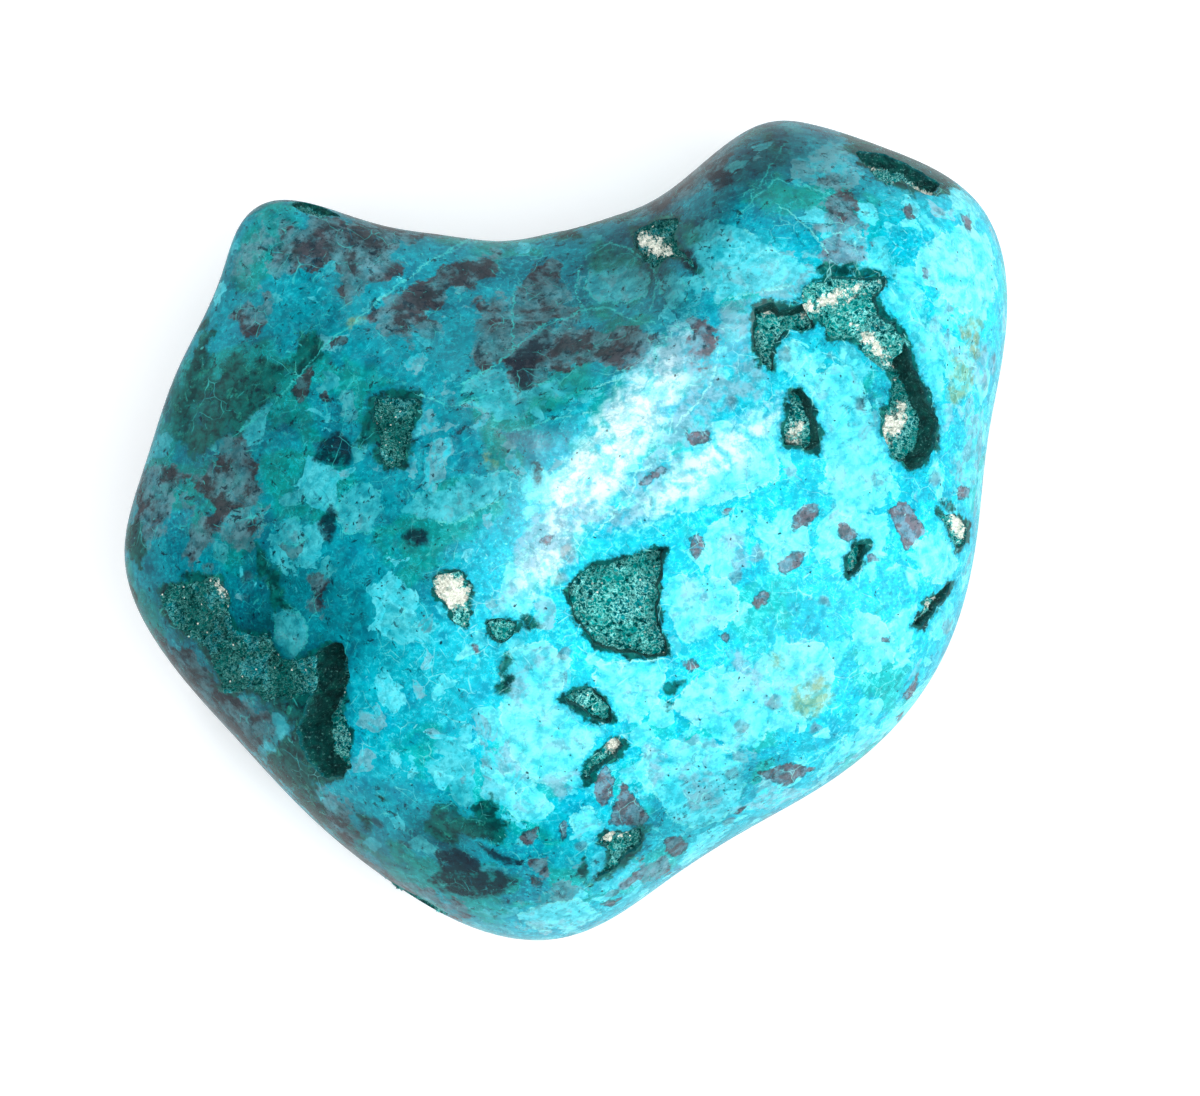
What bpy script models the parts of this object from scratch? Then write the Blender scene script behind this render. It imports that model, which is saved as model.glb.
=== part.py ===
"""A palm-sized polished freeform of chrysocolla breccia, one solid stone that rests on a flat underside.

Hollows are cut through its polished skin, each to its own depth. The five largest hold a crust of
small crystals, which is a solid of its own. Tables are in millimetres and degrees. +Z is up, and the
origin is under the middle of the stone, on the surface that it rests on.
"""

import math
import random

import bmesh
import bpy
import numpy as np
from mathutils import Euler, Quaternion, Vector

MM = 0.001

# Driving dimensions, in millimetres.
BELT_HEIGHT = 18.0  # of the widest outline
CREST_RISE = 27.0  # from the belt to the crest
KEEL_DROP = 22.0  # from the belt down to the keel, before the underside is ground flat
BASE_ROUNDING = 1.2  # how softly the flat underside runs out into the sides
SHOULDER = 0.72  # 1 gives an ellipsoid, and less gives a boxier pebble
BELT_SWING = 2.0  # how far the belt rises and falls on its way round
BELT_TURN = 46.0  # where on its way round it is highest

# Distance in millimetres from the middle to the widest outline, by angle in degrees from +X to +Y.
OUTLINE = (
    (0, 41.0), (14, 43.6), (27, 49.4), (38, 52.4), (50, 49.6), (59, 47.2), (65, 44.2), (71, 37.2),
    (80, 32.0), (92, 29.7), (103, 29.5), (114, 32.2), (124, 37.4), (131, 43.4), (135, 44.5),
    (143, 42.7), (158, 41.7), (172, 42.4), (184, 44.0), (196, 42.2), (212, 39.0), (228, 38.4),
    (246, 39.6), (261, 41.2), (270, 40.8), (285, 36.8), (302, 35.0), (318, 36.6), (340, 39.5),
)

# The crest runs across the stone: a broad facet falls away behind it and a gentle dome before it.
CREST_POINT = (0.9, 0.0)
CREST_ANGLE = 229.0  # the direction in which it runs down the stone
FACET_SLOPE = 0.46
DOME_SLOPE = 0.15
CREST_WIDTH = 5.0  # of the rounding between the two
SADDLE = ((1.0, 26.0), (15.0, 10.0), 5.5)  # middle, half lengths and depth of the dip behind the crest

# Outline, depth and wall taper of each hollow on the upper side, as seen from above.
HOLLOWS = {
    "centre": (
        ((1.2, -8.9), (2.9, -11.2), (4.7, -11.8), (7.5, -12.4), (10.2, -12.2), (9.4, -10.2), (9.1, -7.3),
         (9.2, -4.7), (9.7, -2.1), (8.6, -2.0), (6.5, -2.8), (3.9, -3.4), (1.9, -3.9), (0.1, -6.2)),
        4.2, 0.3,
    ),
    "upper": (
        ((18.1, 17.9), (18.8, 15.8), (20.1, 14.6), (19.9, 17.1), (20.4, 18.1), (21.4, 18.9), (22.9, 18.9),
         (24.1, 19.1), (23.9, 20.6), (23.1, 21.4), (21.6, 21.2), (19.9, 21.6), (18.1, 21.2)),
        3.6, 0.2,
    ),
    "arch": (
        ((22.9, 21.9), (23.6, 20.4), (24.9, 19.6), (25.4, 18.1), (27.2, 18.1), (28.4, 17.6), (29.4, 16.4),
         (31.1, 15.1), (32.5, 16.9), (32.9, 18.4), (32.0, 19.6), (30.6, 20.6), (29.9, 21.6), (30.4, 22.8),
         (31.2, 24.2), (28.4, 23.9), (25.6, 24.4), (24.9, 23.6), (23.1, 23.1)),
        1.6, 0.2,
    ),
    "right": (
        ((32.0, 16.6), (31.1, 15.1), (31.6, 13.8), (31.6, 12.6), (30.6, 11.2), (30.8, 8.8), (31.6, 7.3),
         (32.5, 6.5), (33.5, 5.5), (34.6, 6.0), (36.0, 7.7), (36.2, 10.1), (35.6, 11.8), (35.0, 13.2),
         (34.0, 14.6), (33.5, 16.6), (32.8, 18.4)),
        5.2, 0.25,
    ),
    "wedge": (
        ((21.4, 10.4), (20.9, 8.8), (21.1, 7.7), (22.4, 7.8), (24.1, 7.3), (24.6, 8.2), (24.2, 9.8),
         (23.8, 11.2), (23.2, 12.4), (22.6, 13.3), (21.6, 13.2)),
        3.4, 0.3,
    ),
    "cave": (
        ((-24.4, -11.9), (-24.9, -13.7), (-24.4, -15.9), (-25.4, -18.1), (-26.4, -20.4), (-25.8, -22.6),
         (-24.8, -24.4), (-23.1, -24.6), (-21.1, -23.8), (-20.9, -21.9), (-20.6, -20.1), (-21.1, -18.6),
         (-21.6, -17.4), (-21.1, -15.6), (-20.9, -13.6), (-21.4, -12.4), (-22.2, -11.1)),
        5.6, 0.3,
    ),
    "shelf": (
        ((-39.0, -8.8), (-37.5, -10.3), (-35.6, -10.9), (-34.5, -12.8), (-33.5, -15.6), (-32.5, -16.2),
         (-30.4, -15.2), (-29.2, -16.9), (-28.1, -16.4), (-24.4, -16.1), (-23.9, -12.4), (-26.2, -13.2),
         (-27.6, -12.8), (-28.8, -10.3), (-30.4, -10.6), (-32.5, -9.7), (-33.0, -6.5), (-34.2, -4.8),
         (-36.6, -5.5), (-39.8, -6.0)),
        1.2, 0.2,
    ),
    "corner": (
        ((28.9, 36.0), (29.8, 35.1), (30.8, 34.0), (31.9, 33.5), (32.9, 33.9), (33.9, 33.6), (35.0, 32.9),
         (36.2, 32.9), (37.0, 34.0), (36.0, 34.6), (34.6, 35.4), (33.4, 36.2), (32.0, 36.9), (30.4, 37.2),
         (28.6, 37.4)),
        3.4, 0.3,
    ),
    "bead": (
        ((-12.4, -6.2), (-10.8, -7.8), (-10.4, -9.2), (-9.2, -9.3), (-9.1, -7.8), (-8.7, -5.8),
         (-9.8, -4.2), (-11.3, -4.3), (-12.6, -4.8)),
        1.5, 0.3,
    ),
    "bean": (
        ((-7.3, -10.2), (-6.2, -11.1), (-5.0, -10.3), (-4.2, -9.3), (-5.8, -8.7), (-7.5, -8.8)),
        1.3, 0.3,
    ),
    "crescent": (
        ((0.2, -16.8), (1.4, -17.1), (2.1, -18.2), (3.8, -18.6), (4.8, -18.6), (4.2, -16.4),
         (2.5, -15.2), (1.1, -15.6), (-0.2, -16.4)),
        1.6, 0.3,
    ),
    "tail": (
        ((4.2, -20.4), (3.4, -21.4), (1.8, -23.6), (2.1, -24.6), (2.8, -23.4), (4.2, -22.4),
         (5.2, -21.9), (5.8, -20.9), (5.2, -20.1)),
        1.2, 0.15,
    ),
    "notch": (
        ((27.2, -3.0), (27.1, -4.5), (27.9, -4.3), (28.6, -3.9), (28.9, -2.2), (29.4, -1.4), (27.9, -1.4)),
        2.0, 0.2,
    ),
    "hook": (
        ((37.0, -6.0), (36.0, -6.5), (35.0, -7.0), (35.0, -8.0), (34.1, -8.7), (34.2, -9.4), (35.0, -9.7),
         (35.5, -8.7), (37.0, -7.0), (37.5, -6.0), (37.8, -5.2)),
        1.8, 0.1,
    ),
    "frost": (
        ((36.9, 0.8), (37.6, -0.8), (38.4, -2.2), (39.5, -1.2), (39.6, 0.3), (38.5, 1.1), (37.2, 1.1),
         (36.2, 1.6)),
        1.2, 0.2,
    ),
    "pocket": (
        ((3.2, -30.6), (4.5, -30.9), (4.2, -32.5), (3.0, -34.4), (5.0, -33.2), (5.8, -32.1), (7.3, -31.1),
         (7.7, -29.1), (6.5, -29.1), (5.5, -29.6), (4.0, -29.4)),
        1.3, 0.2,
    ),
    "patch": (
        ((-18.6, 11.2), (-18.1, 8.9), (-17.4, 5.7), (-15.4, 6.0), (-15.1, 8.8), (-14.4, 10.8),
         (-13.9, 12.7), (-18.4, 12.9)),
        0.9, 0.2,
    ),
    "brow": (
        ((7.2, 26.9), (8.8, 25.2), (10.2, 26.6), (12.6, 25.2), (10.7, 28.1), (11.2, 30.4), (8.8, 30.4),
         (6.8, 29.4)),
        1.0, 0.2,
    ),
}

# Hollows on the sides and the underside: bearing, latitude, half length, half width, turn and depth.
SIDE_HOLLOWS = {
    "front": (248, 8, 4.6, 2.2, 25, 2.2),
    "flank": (190, -14, 3.4, 1.8, -40, 1.8),
    "back": (86, 2, 3.8, 2.6, 15, 2.4),
    "end": (8, -8, 3.0, 1.6, 60, 1.6),
    "nape": (128, 12, 2.6, 1.5, -20, 1.4),
}
SIDE_OUTLINE_POINTS = 11
SIDE_TAPER = 0.3
RAGGEDNESS = 0.22  # the share by which a side hollow's outline wanders in and out

# The crust of crystals in a hollow: the share of its depth that the crust fills.
CRUSTS = {"centre": 0.62, "upper": 0.45, "right": 0.4, "cave": 0.38, "corner": 0.45}
CRUST_GAP = 0.35  # between a crust and the walls and floor of its hollow
CRYSTAL_HEIGHT = 0.55
CRYSTAL_SIZE = 1.3  # the longest side of the crust's facets, as far as the splits reach
CRYSTAL_SPLITS = 3
CUTTER_LIFT = 3.0  # how far a cutter stands out of the stone
MITRE_LIMIT = 0.6  # keeps sharp corners from shooting out when an outline is drawn in
UPWARD = 0.9  # a crust's upper faces lean less than this cosine from the hollow's axis

STONE_SUBDIVISIONS = 5
SEED = 11

STONE_COLOUR = (0.03, 0.46, 0.52, 1.0)
CRUST_COLOUR = (0.01, 0.15, 0.12, 1.0)


def clear_scene():
    """Removes what the startup scene holds."""
    for obj in list(bpy.data.objects):
        bpy.data.objects.remove(obj)


def collection(name):
    """A new collection in the scene."""
    made = bpy.data.collections.new(name)
    bpy.context.scene.collection.children.link(made)
    return made


def material(name, colour, roughness):
    """A Principled material of one colour."""
    made = bpy.data.materials.new(name)
    made.use_nodes = True
    shader = made.node_tree.nodes["Principled BSDF"]
    shader.inputs["Base Color"].default_value = colour
    shader.inputs["Roughness"].default_value = roughness
    shader.inputs["Metallic"].default_value = 0.0
    made.diffuse_color = colour
    return made


def periodic_spline(knots, values, at):
    """A smooth closed curve through the values at the knots, in degrees, read at the angles asked for."""
    knots = np.asarray(knots, float)
    values = np.asarray(values, float)
    count = len(knots)
    steps = np.diff(knots, append=knots[0] + 360)
    rises = (np.roll(values, -1) - values) / steps
    system = np.zeros((count, count))
    for i in range(count):
        system[i, i - 1] = steps[i - 1]
        system[i, i] = 2 * (steps[i - 1] + steps[i])
        system[i, (i + 1) % count] = steps[i]
    bends = np.linalg.solve(system, 6 * (rises - np.roll(rises, 1)))
    at = (np.asarray(at, float) - knots[0]) % 360 + knots[0]
    i = np.clip(np.searchsorted(knots, at, side="right") - 1, 0, count - 1)
    after = (i + 1) % count
    step = steps[i]
    along = at - knots[i]
    left = step - along
    return (
        (bends[i] * left**3 + bends[after] * along**3) / (6 * step)
        + (values[i] / step - bends[i] * step / 6) * left
        + (values[after] / step - bends[after] * step / 6) * along
    )


def crest_rise(x, y):
    """Height of the stone over its belt at a point seen from above, before the shoulder rounds it off."""
    heading = math.radians(CREST_ANGLE)
    behind = (x - CREST_POINT[0]) * math.sin(heading) - (y - CREST_POINT[1]) * math.cos(heading)
    facet = CREST_RISE - FACET_SLOPE * behind
    dome = CREST_RISE + DOME_SLOPE * behind
    rise = (facet + dome - np.sqrt((facet - dome) ** 2 + CREST_WIDTH**2)) / 2
    (saddle_x, saddle_y), (length, width), depth = SADDLE
    return rise - depth * np.exp(-(((x - saddle_x) / length) ** 2) - ((y - saddle_y) / width) ** 2)


def grind_flat(z):
    """Cuts the underside off flat at zero, with a small rounding where it meets the sides."""
    eased = (z + BASE_ROUNDING) ** 2 / (4 * BASE_ROUNDING)
    return np.where(z > BASE_ROUNDING, z, np.where(z < -BASE_ROUNDING, 0.0, eased))


def stone_surface(directions):
    """The polished surface, in millimetres, for unit directions from the middle of the belt."""
    directions = np.atleast_2d(directions)
    bearing = np.arctan2(directions[:, 1], directions[:, 0])
    level = np.clip(np.hypot(directions[:, 0], directions[:, 1]), 1e-9, 1.0)
    steepness = np.abs(directions[:, 2])
    reach = level**SHOULDER
    radius = reach * periodic_spline(*zip(*OUTLINE), np.degrees(bearing))
    x = radius * np.cos(bearing)
    y = radius * np.sin(bearing)
    belt = BELT_HEIGHT + BELT_SWING * reach**2 * np.cos(2 * bearing + math.radians(BELT_TURN))
    height = np.where(directions[:, 2] > 0, crest_rise(x, y), -KEEL_DROP)
    z = grind_flat(belt + height * steepness**SHOULDER)
    return np.stack([x, y, z], axis=1)


def direction_over(x, y):
    """The direction whose surface point on the upper side is at (x, y)."""
    bearing = math.atan2(y, x)
    outline = float(periodic_spline(*zip(*OUTLINE), np.degrees([bearing]))[0])
    level = min(math.hypot(x, y) / outline, 0.999) ** (1 / SHOULDER)
    return Vector((level * math.cos(bearing), level * math.sin(bearing), math.sqrt(1 - level**2)))


def seat(direction):
    """Point and outward normal of the surface in a direction, in millimetres."""
    step = 0.02
    across = direction.orthogonal().normalized()
    other = direction.cross(across)
    around = [direction, direction + across * step, direction - across * step]
    around += [direction + other * step, direction - other * step]
    points = [Vector(p) for p in stone_surface(np.array([d.normalized() for d in around]))]
    normal = (points[1] - points[2]).cross(points[3] - points[4]).normalized()
    return points[0], normal


def top_hollow(outline):
    """Outline points of an upper hollow, on the plane that touches the stone at its middle."""
    middle = np.mean(outline, axis=0)
    point, normal = seat(direction_over(*middle))
    slope_x = -normal.x / normal.z
    slope_y = -normal.y / normal.z
    points = []
    for x, y in outline:
        points.append(Vector((x, y, point.z + slope_x * (x - point.x) + slope_y * (y - point.y))))
    return points, normal


def side_hollow(bearing, latitude, half_length, half_width, turn, rng):
    """Outline points of a side hollow: a ragged oval on the plane that touches the stone there."""
    direction = Vector((1, 0, 0))
    direction.rotate(Euler((0, -math.radians(latitude), math.radians(bearing))))
    point, normal = seat(direction)
    along = Vector((0, 0, 1)).cross(normal).normalized()
    along.rotate(Quaternion(normal, math.radians(turn)))
    across = normal.cross(along)
    points = []
    for i in range(SIDE_OUTLINE_POINTS):
        angle = 2 * math.pi * i / SIDE_OUTLINE_POINTS
        reach = 1 + RAGGEDNESS * rng.uniform(-1, 1)
        points.append(
            point
            + along * (half_length * reach * math.cos(angle))
            + across * (half_width * reach * math.sin(angle))
        )
    return points, normal


def drawn_in(points, normal, distance):
    """The outline moved inwards by a distance, each point along the bisector of its two edges."""
    count = len(points)
    moved = []
    for i, point in enumerate(points):
        before = (point - points[i - 1]).normalized()
        after = (points[(i + 1) % count] - point).normalized()
        inwards = normal.cross(before) + normal.cross(after)
        moved.append(point + inwards * (distance / max(inwards.length_squared / 2, MITRE_LIMIT)))
    return moved


def clearance(point, points):
    """Distance from a point to the nearest edge of an outline."""
    nearest = math.inf
    for start, end in zip(points, points[1:] + points[:1]):
        along = min(max((point - start).dot(end - start) / (end - start).length_squared, 0), 1)
        nearest = min(nearest, (start + (end - start) * along - point).length)
    return nearest


def crust_outline(points, normal, inset):
    """The hollow's outline drawn in, without the places that are too narrow to hold the crust."""
    moved = drawn_in(points, normal, inset)
    return [point for point in moved if clearance(point, points) > 0.9 * inset]


def lowered(points, normal, depth):
    """The outline at a depth under its own plane, in metres."""
    return [(point - normal * depth) * MM for point in points]


def new_object(name, bm, skin, home):
    """Makes an object from a bmesh, with outward faces."""
    bmesh.ops.recalc_face_normals(bm, faces=bm.faces)
    mesh = bpy.data.meshes.new(name)
    bm.to_mesh(mesh)
    bm.free()
    obj = bpy.data.objects.new(name, mesh)
    if skin:
        mesh.materials.append(skin)
    home.objects.link(obj)
    return obj


def loft(rings):
    """A closed bmesh through rings of equally many points, from the lowest ring to the highest."""
    bm = bmesh.new()
    levels = [[bm.verts.new(p) for p in points] for points in rings]
    count = len(rings[0])
    for lower, upper in zip(levels, levels[1:]):
        for i in range(count):
            bm.faces.new((lower[i], lower[(i + 1) % count], upper[(i + 1) % count], upper[i]))
    bm.faces.new(reversed(levels[0]))
    bm.faces.new(levels[-1])
    bm.normal_update()
    return bm


def hollow_cutter(name, points, normal, depth, taper, home):
    """The solid that is taken out of the stone for one hollow."""
    levels = [(depth, taper), (depth * 0.5, taper * 0.25), (-CUTTER_LIFT, -taper)]
    bm = loft([lowered(drawn_in(points, normal, inset), normal, down) for down, inset in levels])
    cutter = new_object(f"{name}_cutter", bm, None, home)
    cutter.hide_render = True
    cutter.display_type = "WIRE"
    return cutter


def facing(bm, normal):
    """The faces on the upper side of a crust."""
    bm.normal_update()
    return [face for face in bm.faces if face.normal.dot(normal) > UPWARD]


def long_edges(bm, faces):
    """The edges of some faces that are longer than a crystal."""
    faces = set(faces)
    return [
        edge for edge in bm.edges
        if edge.calc_length() > CRYSTAL_SIZE * MM and any(face in faces for face in edge.link_faces)
    ]


def crystal_crust(name, points, normal, depth, taper, filled, skin, home, rng):
    """The crust on a hollow's floor: a layer whose upper face is broken into small pyramids."""
    outline = crust_outline(points, normal, taper + CRUST_GAP)
    floor = lowered(outline, normal, depth - CRUST_GAP)
    top = lowered(outline, normal, depth * (1 - filled))
    bm = loft([floor, top])
    bmesh.ops.triangulate(bm, faces=facing(bm, normal))
    for _ in range(CRYSTAL_SPLITS):
        bmesh.ops.subdivide_edges(bm, edges=long_edges(bm, facing(bm, normal)), cuts=1)
        bmesh.ops.triangulate(bm, faces=[face for face in facing(bm, normal) if len(face.verts) > 3])
    for face in facing(bm, normal):
        bmesh.ops.poke(bm, faces=[face], offset=CRYSTAL_HEIGHT * MM * rng.uniform(0.35, 1.0))
    return new_object(f"druse_{name}", bm, skin, home)


def build_stone(skin, home):
    """The stone before its hollows are cut."""
    bm = bmesh.new()
    bmesh.ops.create_icosphere(bm, subdivisions=STONE_SUBDIVISIONS, radius=1.0)
    directions = np.array([v.co.normalized() for v in bm.verts])
    for vertex, point in zip(bm.verts, stone_surface(directions) * MM):
        vertex.co = point
    stone = new_object("stone", bm, skin, home)
    stone.data.shade_smooth()
    return stone


def cut(stone, cutters):
    """Takes each cutter out of the stone."""
    for cutter in cutters:
        modifier = stone.modifiers.new(cutter.name, "BOOLEAN")
        modifier.operation = "DIFFERENCE"
        modifier.solver = "EXACT"
        modifier.object = cutter


def main():
    clear_scene()
    rng = random.Random(SEED)
    parts = collection("chrysocolla_freeform")
    cutters = collection("cutters")
    polished = material("polished_chrysocolla", STONE_COLOUR, 0.2)
    crystal = material("malachite_druse", CRUST_COLOUR, 0.45)

    stone = build_stone(polished, parts)
    made = []
    for name, (outline, depth, taper) in HOLLOWS.items():
        points, normal = top_hollow(outline)
        made.append(hollow_cutter(name, points, normal, depth, taper, cutters))
        if name in CRUSTS:
            crystal_crust(name, points, normal, depth, taper, CRUSTS[name], crystal, parts, rng)
    for name, (bearing, latitude, half_length, half_width, turn, depth) in SIDE_HOLLOWS.items():
        points, normal = side_hollow(bearing, latitude, half_length, half_width, turn, rng)
        made.append(hollow_cutter(name, points, normal, depth, SIDE_TAPER, cutters))
    cut(stone, made)


main()
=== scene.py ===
"""The looks of a palm-sized polished freeform of chrysocolla breccia.

The stone is cut again at a fine scale over the frame's solid. What each mineral covers is written down as
patches in millimetres, seen from above, and every vertex stores how deep it lies inside each mineral. The
shader roughens those edges and lays its own breccia, veins and specks between them.
"""
import math
import random
from collections import namedtuple

import bmesh
import bpy
import numpy as np
from mathutils import Euler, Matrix, Quaternion, Vector, noise


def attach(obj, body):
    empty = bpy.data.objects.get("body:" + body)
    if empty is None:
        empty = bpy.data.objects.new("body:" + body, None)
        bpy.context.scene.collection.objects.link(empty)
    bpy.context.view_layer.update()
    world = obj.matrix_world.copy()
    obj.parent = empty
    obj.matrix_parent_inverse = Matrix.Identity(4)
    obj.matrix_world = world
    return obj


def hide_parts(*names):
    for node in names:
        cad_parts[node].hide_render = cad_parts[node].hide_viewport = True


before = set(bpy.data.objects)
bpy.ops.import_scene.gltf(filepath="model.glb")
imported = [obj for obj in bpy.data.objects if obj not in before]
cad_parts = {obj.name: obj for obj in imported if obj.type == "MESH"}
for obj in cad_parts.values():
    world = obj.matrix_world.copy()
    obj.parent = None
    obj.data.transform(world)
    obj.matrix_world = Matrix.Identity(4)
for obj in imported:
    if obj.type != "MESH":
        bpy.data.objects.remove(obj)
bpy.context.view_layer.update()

MM = 0.001
SEED = 7

# The stone's form, in millimetres, as the frame's solid has it.
BELT_HEIGHT = 18.0
CREST_RISE = 27.0
KEEL_DROP = 22.0
BASE_ROUNDING = 1.2
SHOULDER = 0.72
BELT_SWING = 2.0
BELT_TURN = 46.0

# Distance from the middle to the widest outline, by angle in degrees from +X to +Y.
OUTLINE = (
    (0, 41.0), (14, 43.6), (27, 49.4), (38, 52.4), (50, 49.6), (59, 47.2), (65, 44.2), (71, 37.2),
    (80, 32.0), (92, 29.7), (103, 29.5), (114, 32.2), (124, 37.4), (131, 43.4), (135, 44.5),
    (143, 42.7), (158, 41.7), (172, 42.4), (184, 44.0), (196, 42.2), (212, 39.0), (228, 38.4),
    (246, 39.6), (261, 41.2), (270, 40.8), (285, 36.8), (302, 35.0), (318, 36.6), (340, 39.5),
)

CREST_POINT = (0.9, 0.0)
CREST_ANGLE = 229.0  # the crest's heading, in degrees
FACET_SLOPE = 0.46
DOME_SLOPE = 0.15
CREST_WIDTH = 5.0
SADDLE = ((1.0, 26.0), (15.0, 10.0), 5.5)  # middle, half length and half width, and depth

# Outline, depth and wall taper of each hollow on the upper side, as seen from above.
HOLLOWS = {
    "centre": (
        ((1.2, -8.9), (2.9, -11.2), (4.7, -11.8), (7.5, -12.4), (10.2, -12.2), (9.4, -10.2), (9.1, -7.3),
         (9.2, -4.7), (9.7, -2.1), (8.6, -2.0), (6.5, -2.8), (3.9, -3.4), (1.9, -3.9), (0.1, -6.2)),
        4.2, 0.3,
    ),
    "upper": (
        ((18.1, 17.9), (18.8, 15.8), (20.1, 14.6), (19.9, 17.1), (20.4, 18.1), (21.4, 18.9), (22.9, 18.9),
         (24.1, 19.1), (23.9, 20.6), (23.1, 21.4), (21.6, 21.2), (19.9, 21.6), (18.1, 21.2)),
        3.6, 0.2,
    ),
    "arch": (
        ((22.9, 21.9), (23.6, 20.4), (24.9, 19.6), (25.4, 18.1), (27.2, 18.1), (28.4, 17.6), (29.4, 16.4),
         (31.1, 15.1), (32.5, 16.9), (32.9, 18.4), (32.0, 19.6), (30.6, 20.6), (29.9, 21.6), (30.4, 22.8),
         (31.2, 24.2), (28.4, 23.9), (25.6, 24.4), (24.9, 23.6), (23.1, 23.1)),
        1.6, 0.2,
    ),
    "right": (
        ((32.0, 16.6), (31.1, 15.1), (31.6, 13.8), (31.6, 12.6), (30.6, 11.2), (30.8, 8.8), (31.6, 7.3),
         (32.5, 6.5), (33.5, 5.5), (34.6, 6.0), (36.0, 7.7), (36.2, 10.1), (35.6, 11.8), (35.0, 13.2),
         (34.0, 14.6), (33.5, 16.6), (32.8, 18.4)),
        5.2, 0.25,
    ),
    "wedge": (
        ((21.4, 10.4), (20.9, 8.8), (21.1, 7.7), (22.4, 7.8), (24.1, 7.3), (24.6, 8.2), (24.2, 9.8),
         (23.8, 11.2), (23.2, 12.4), (22.6, 13.3), (21.6, 13.2)),
        3.4, 0.3,
    ),
    "cave": (
        ((-24.4, -11.9), (-24.9, -13.7), (-24.4, -15.9), (-25.4, -18.1), (-26.4, -20.4), (-25.8, -22.6),
         (-24.8, -24.4), (-23.1, -24.6), (-21.1, -23.8), (-20.9, -21.9), (-20.6, -20.1), (-21.1, -18.6),
         (-21.6, -17.4), (-21.1, -15.6), (-20.9, -13.6), (-21.4, -12.4), (-22.2, -11.1)),
        5.6, 0.3,
    ),
    "shelf": (
        ((-39.0, -8.8), (-37.5, -10.3), (-35.6, -10.9), (-34.5, -12.8), (-33.5, -15.6), (-32.5, -16.2),
         (-30.4, -15.2), (-29.2, -16.9), (-28.1, -16.4), (-24.4, -16.1), (-23.9, -12.4), (-26.2, -13.2),
         (-27.6, -12.8), (-28.8, -10.3), (-30.4, -10.6), (-32.5, -9.7), (-33.0, -6.5), (-34.2, -4.8),
         (-36.6, -5.5), (-39.8, -6.0)),
        1.2, 0.2,
    ),
    "corner": (
        ((28.9, 36.0), (29.8, 35.1), (30.8, 34.0), (31.9, 33.5), (32.9, 33.9), (33.9, 33.6), (35.0, 32.9),
         (36.2, 32.9), (37.0, 34.0), (36.0, 34.6), (34.6, 35.4), (33.4, 36.2), (32.0, 36.9), (30.4, 37.2),
         (28.6, 37.4)),
        3.4, 0.3,
    ),
    "bead": (
        ((-12.4, -6.2), (-10.8, -7.8), (-10.4, -9.2), (-9.2, -9.3), (-9.1, -7.8), (-8.7, -5.8),
         (-9.8, -4.2), (-11.3, -4.3), (-12.6, -4.8)),
        1.5, 0.3,
    ),
    "bean": (
        ((-7.3, -10.2), (-6.2, -11.1), (-5.0, -10.3), (-4.2, -9.3), (-5.8, -8.7), (-7.5, -8.8)),
        1.3, 0.3,
    ),
    "crescent": (
        ((0.2, -16.8), (1.4, -17.1), (2.1, -18.2), (3.8, -18.6), (4.8, -18.6), (4.2, -16.4),
         (2.5, -15.2), (1.1, -15.6), (-0.2, -16.4)),
        1.6, 0.3,
    ),
    "tail": (
        ((4.2, -20.4), (3.4, -21.4), (1.8, -23.6), (2.1, -24.6), (2.8, -23.4), (4.2, -22.4),
         (5.2, -21.9), (5.8, -20.9), (5.2, -20.1)),
        1.2, 0.15,
    ),
    "notch": (
        ((27.2, -3.0), (27.1, -4.5), (27.9, -4.3), (28.6, -3.9), (28.9, -2.2), (29.4, -1.4), (27.9, -1.4)),
        2.0, 0.2,
    ),
    "hook": (
        ((37.0, -6.0), (36.0, -6.5), (35.0, -7.0), (35.0, -8.0), (34.1, -8.7), (34.2, -9.4), (35.0, -9.7),
         (35.5, -8.7), (37.0, -7.0), (37.5, -6.0), (37.8, -5.2)),
        1.8, 0.1,
    ),
    "frost": (
        ((36.9, 0.8), (37.6, -0.8), (38.4, -2.2), (39.5, -1.2), (39.6, 0.3), (38.5, 1.1), (37.2, 1.1),
         (36.2, 1.6)),
        1.2, 0.2,
    ),
    "pocket": (
        ((3.2, -30.6), (4.5, -30.9), (4.2, -32.5), (3.0, -34.4), (5.0, -33.2), (5.8, -32.1), (7.3, -31.1),
         (7.7, -29.1), (6.5, -29.1), (5.5, -29.6), (4.0, -29.4)),
        1.3, 0.2,
    ),
    "patch": (
        ((-18.6, 11.2), (-18.1, 8.9), (-17.4, 5.7), (-15.4, 6.0), (-15.1, 8.8), (-14.4, 10.8),
         (-13.9, 12.7), (-18.4, 12.9)),
        0.9, 0.2,
    ),
    "brow": (
        ((7.2, 26.9), (8.8, 25.2), (10.2, 26.6), (12.6, 25.2), (10.7, 28.1), (11.2, 30.4), (8.8, 30.4),
         (6.8, 29.4)),
        1.0, 0.2,
    ),
}

# Hollows on the sides and the underside: bearing, latitude, half length, half width, turn and depth.
SIDE_HOLLOWS = {
    "front": (248, 8, 4.6, 2.2, 25, 2.2),
    "flank": (190, -14, 3.4, 1.8, -40, 1.8),
    "back": (86, 2, 3.8, 2.6, 15, 2.4),
    "end": (8, -8, 3.0, 1.6, 60, 1.6),
    "nape": (128, 12, 2.6, 1.5, -20, 1.4),
}
SIDE_OUTLINE_POINTS = 11
SIDE_TAPER = 0.3
RAGGEDNESS = 0.22

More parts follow.
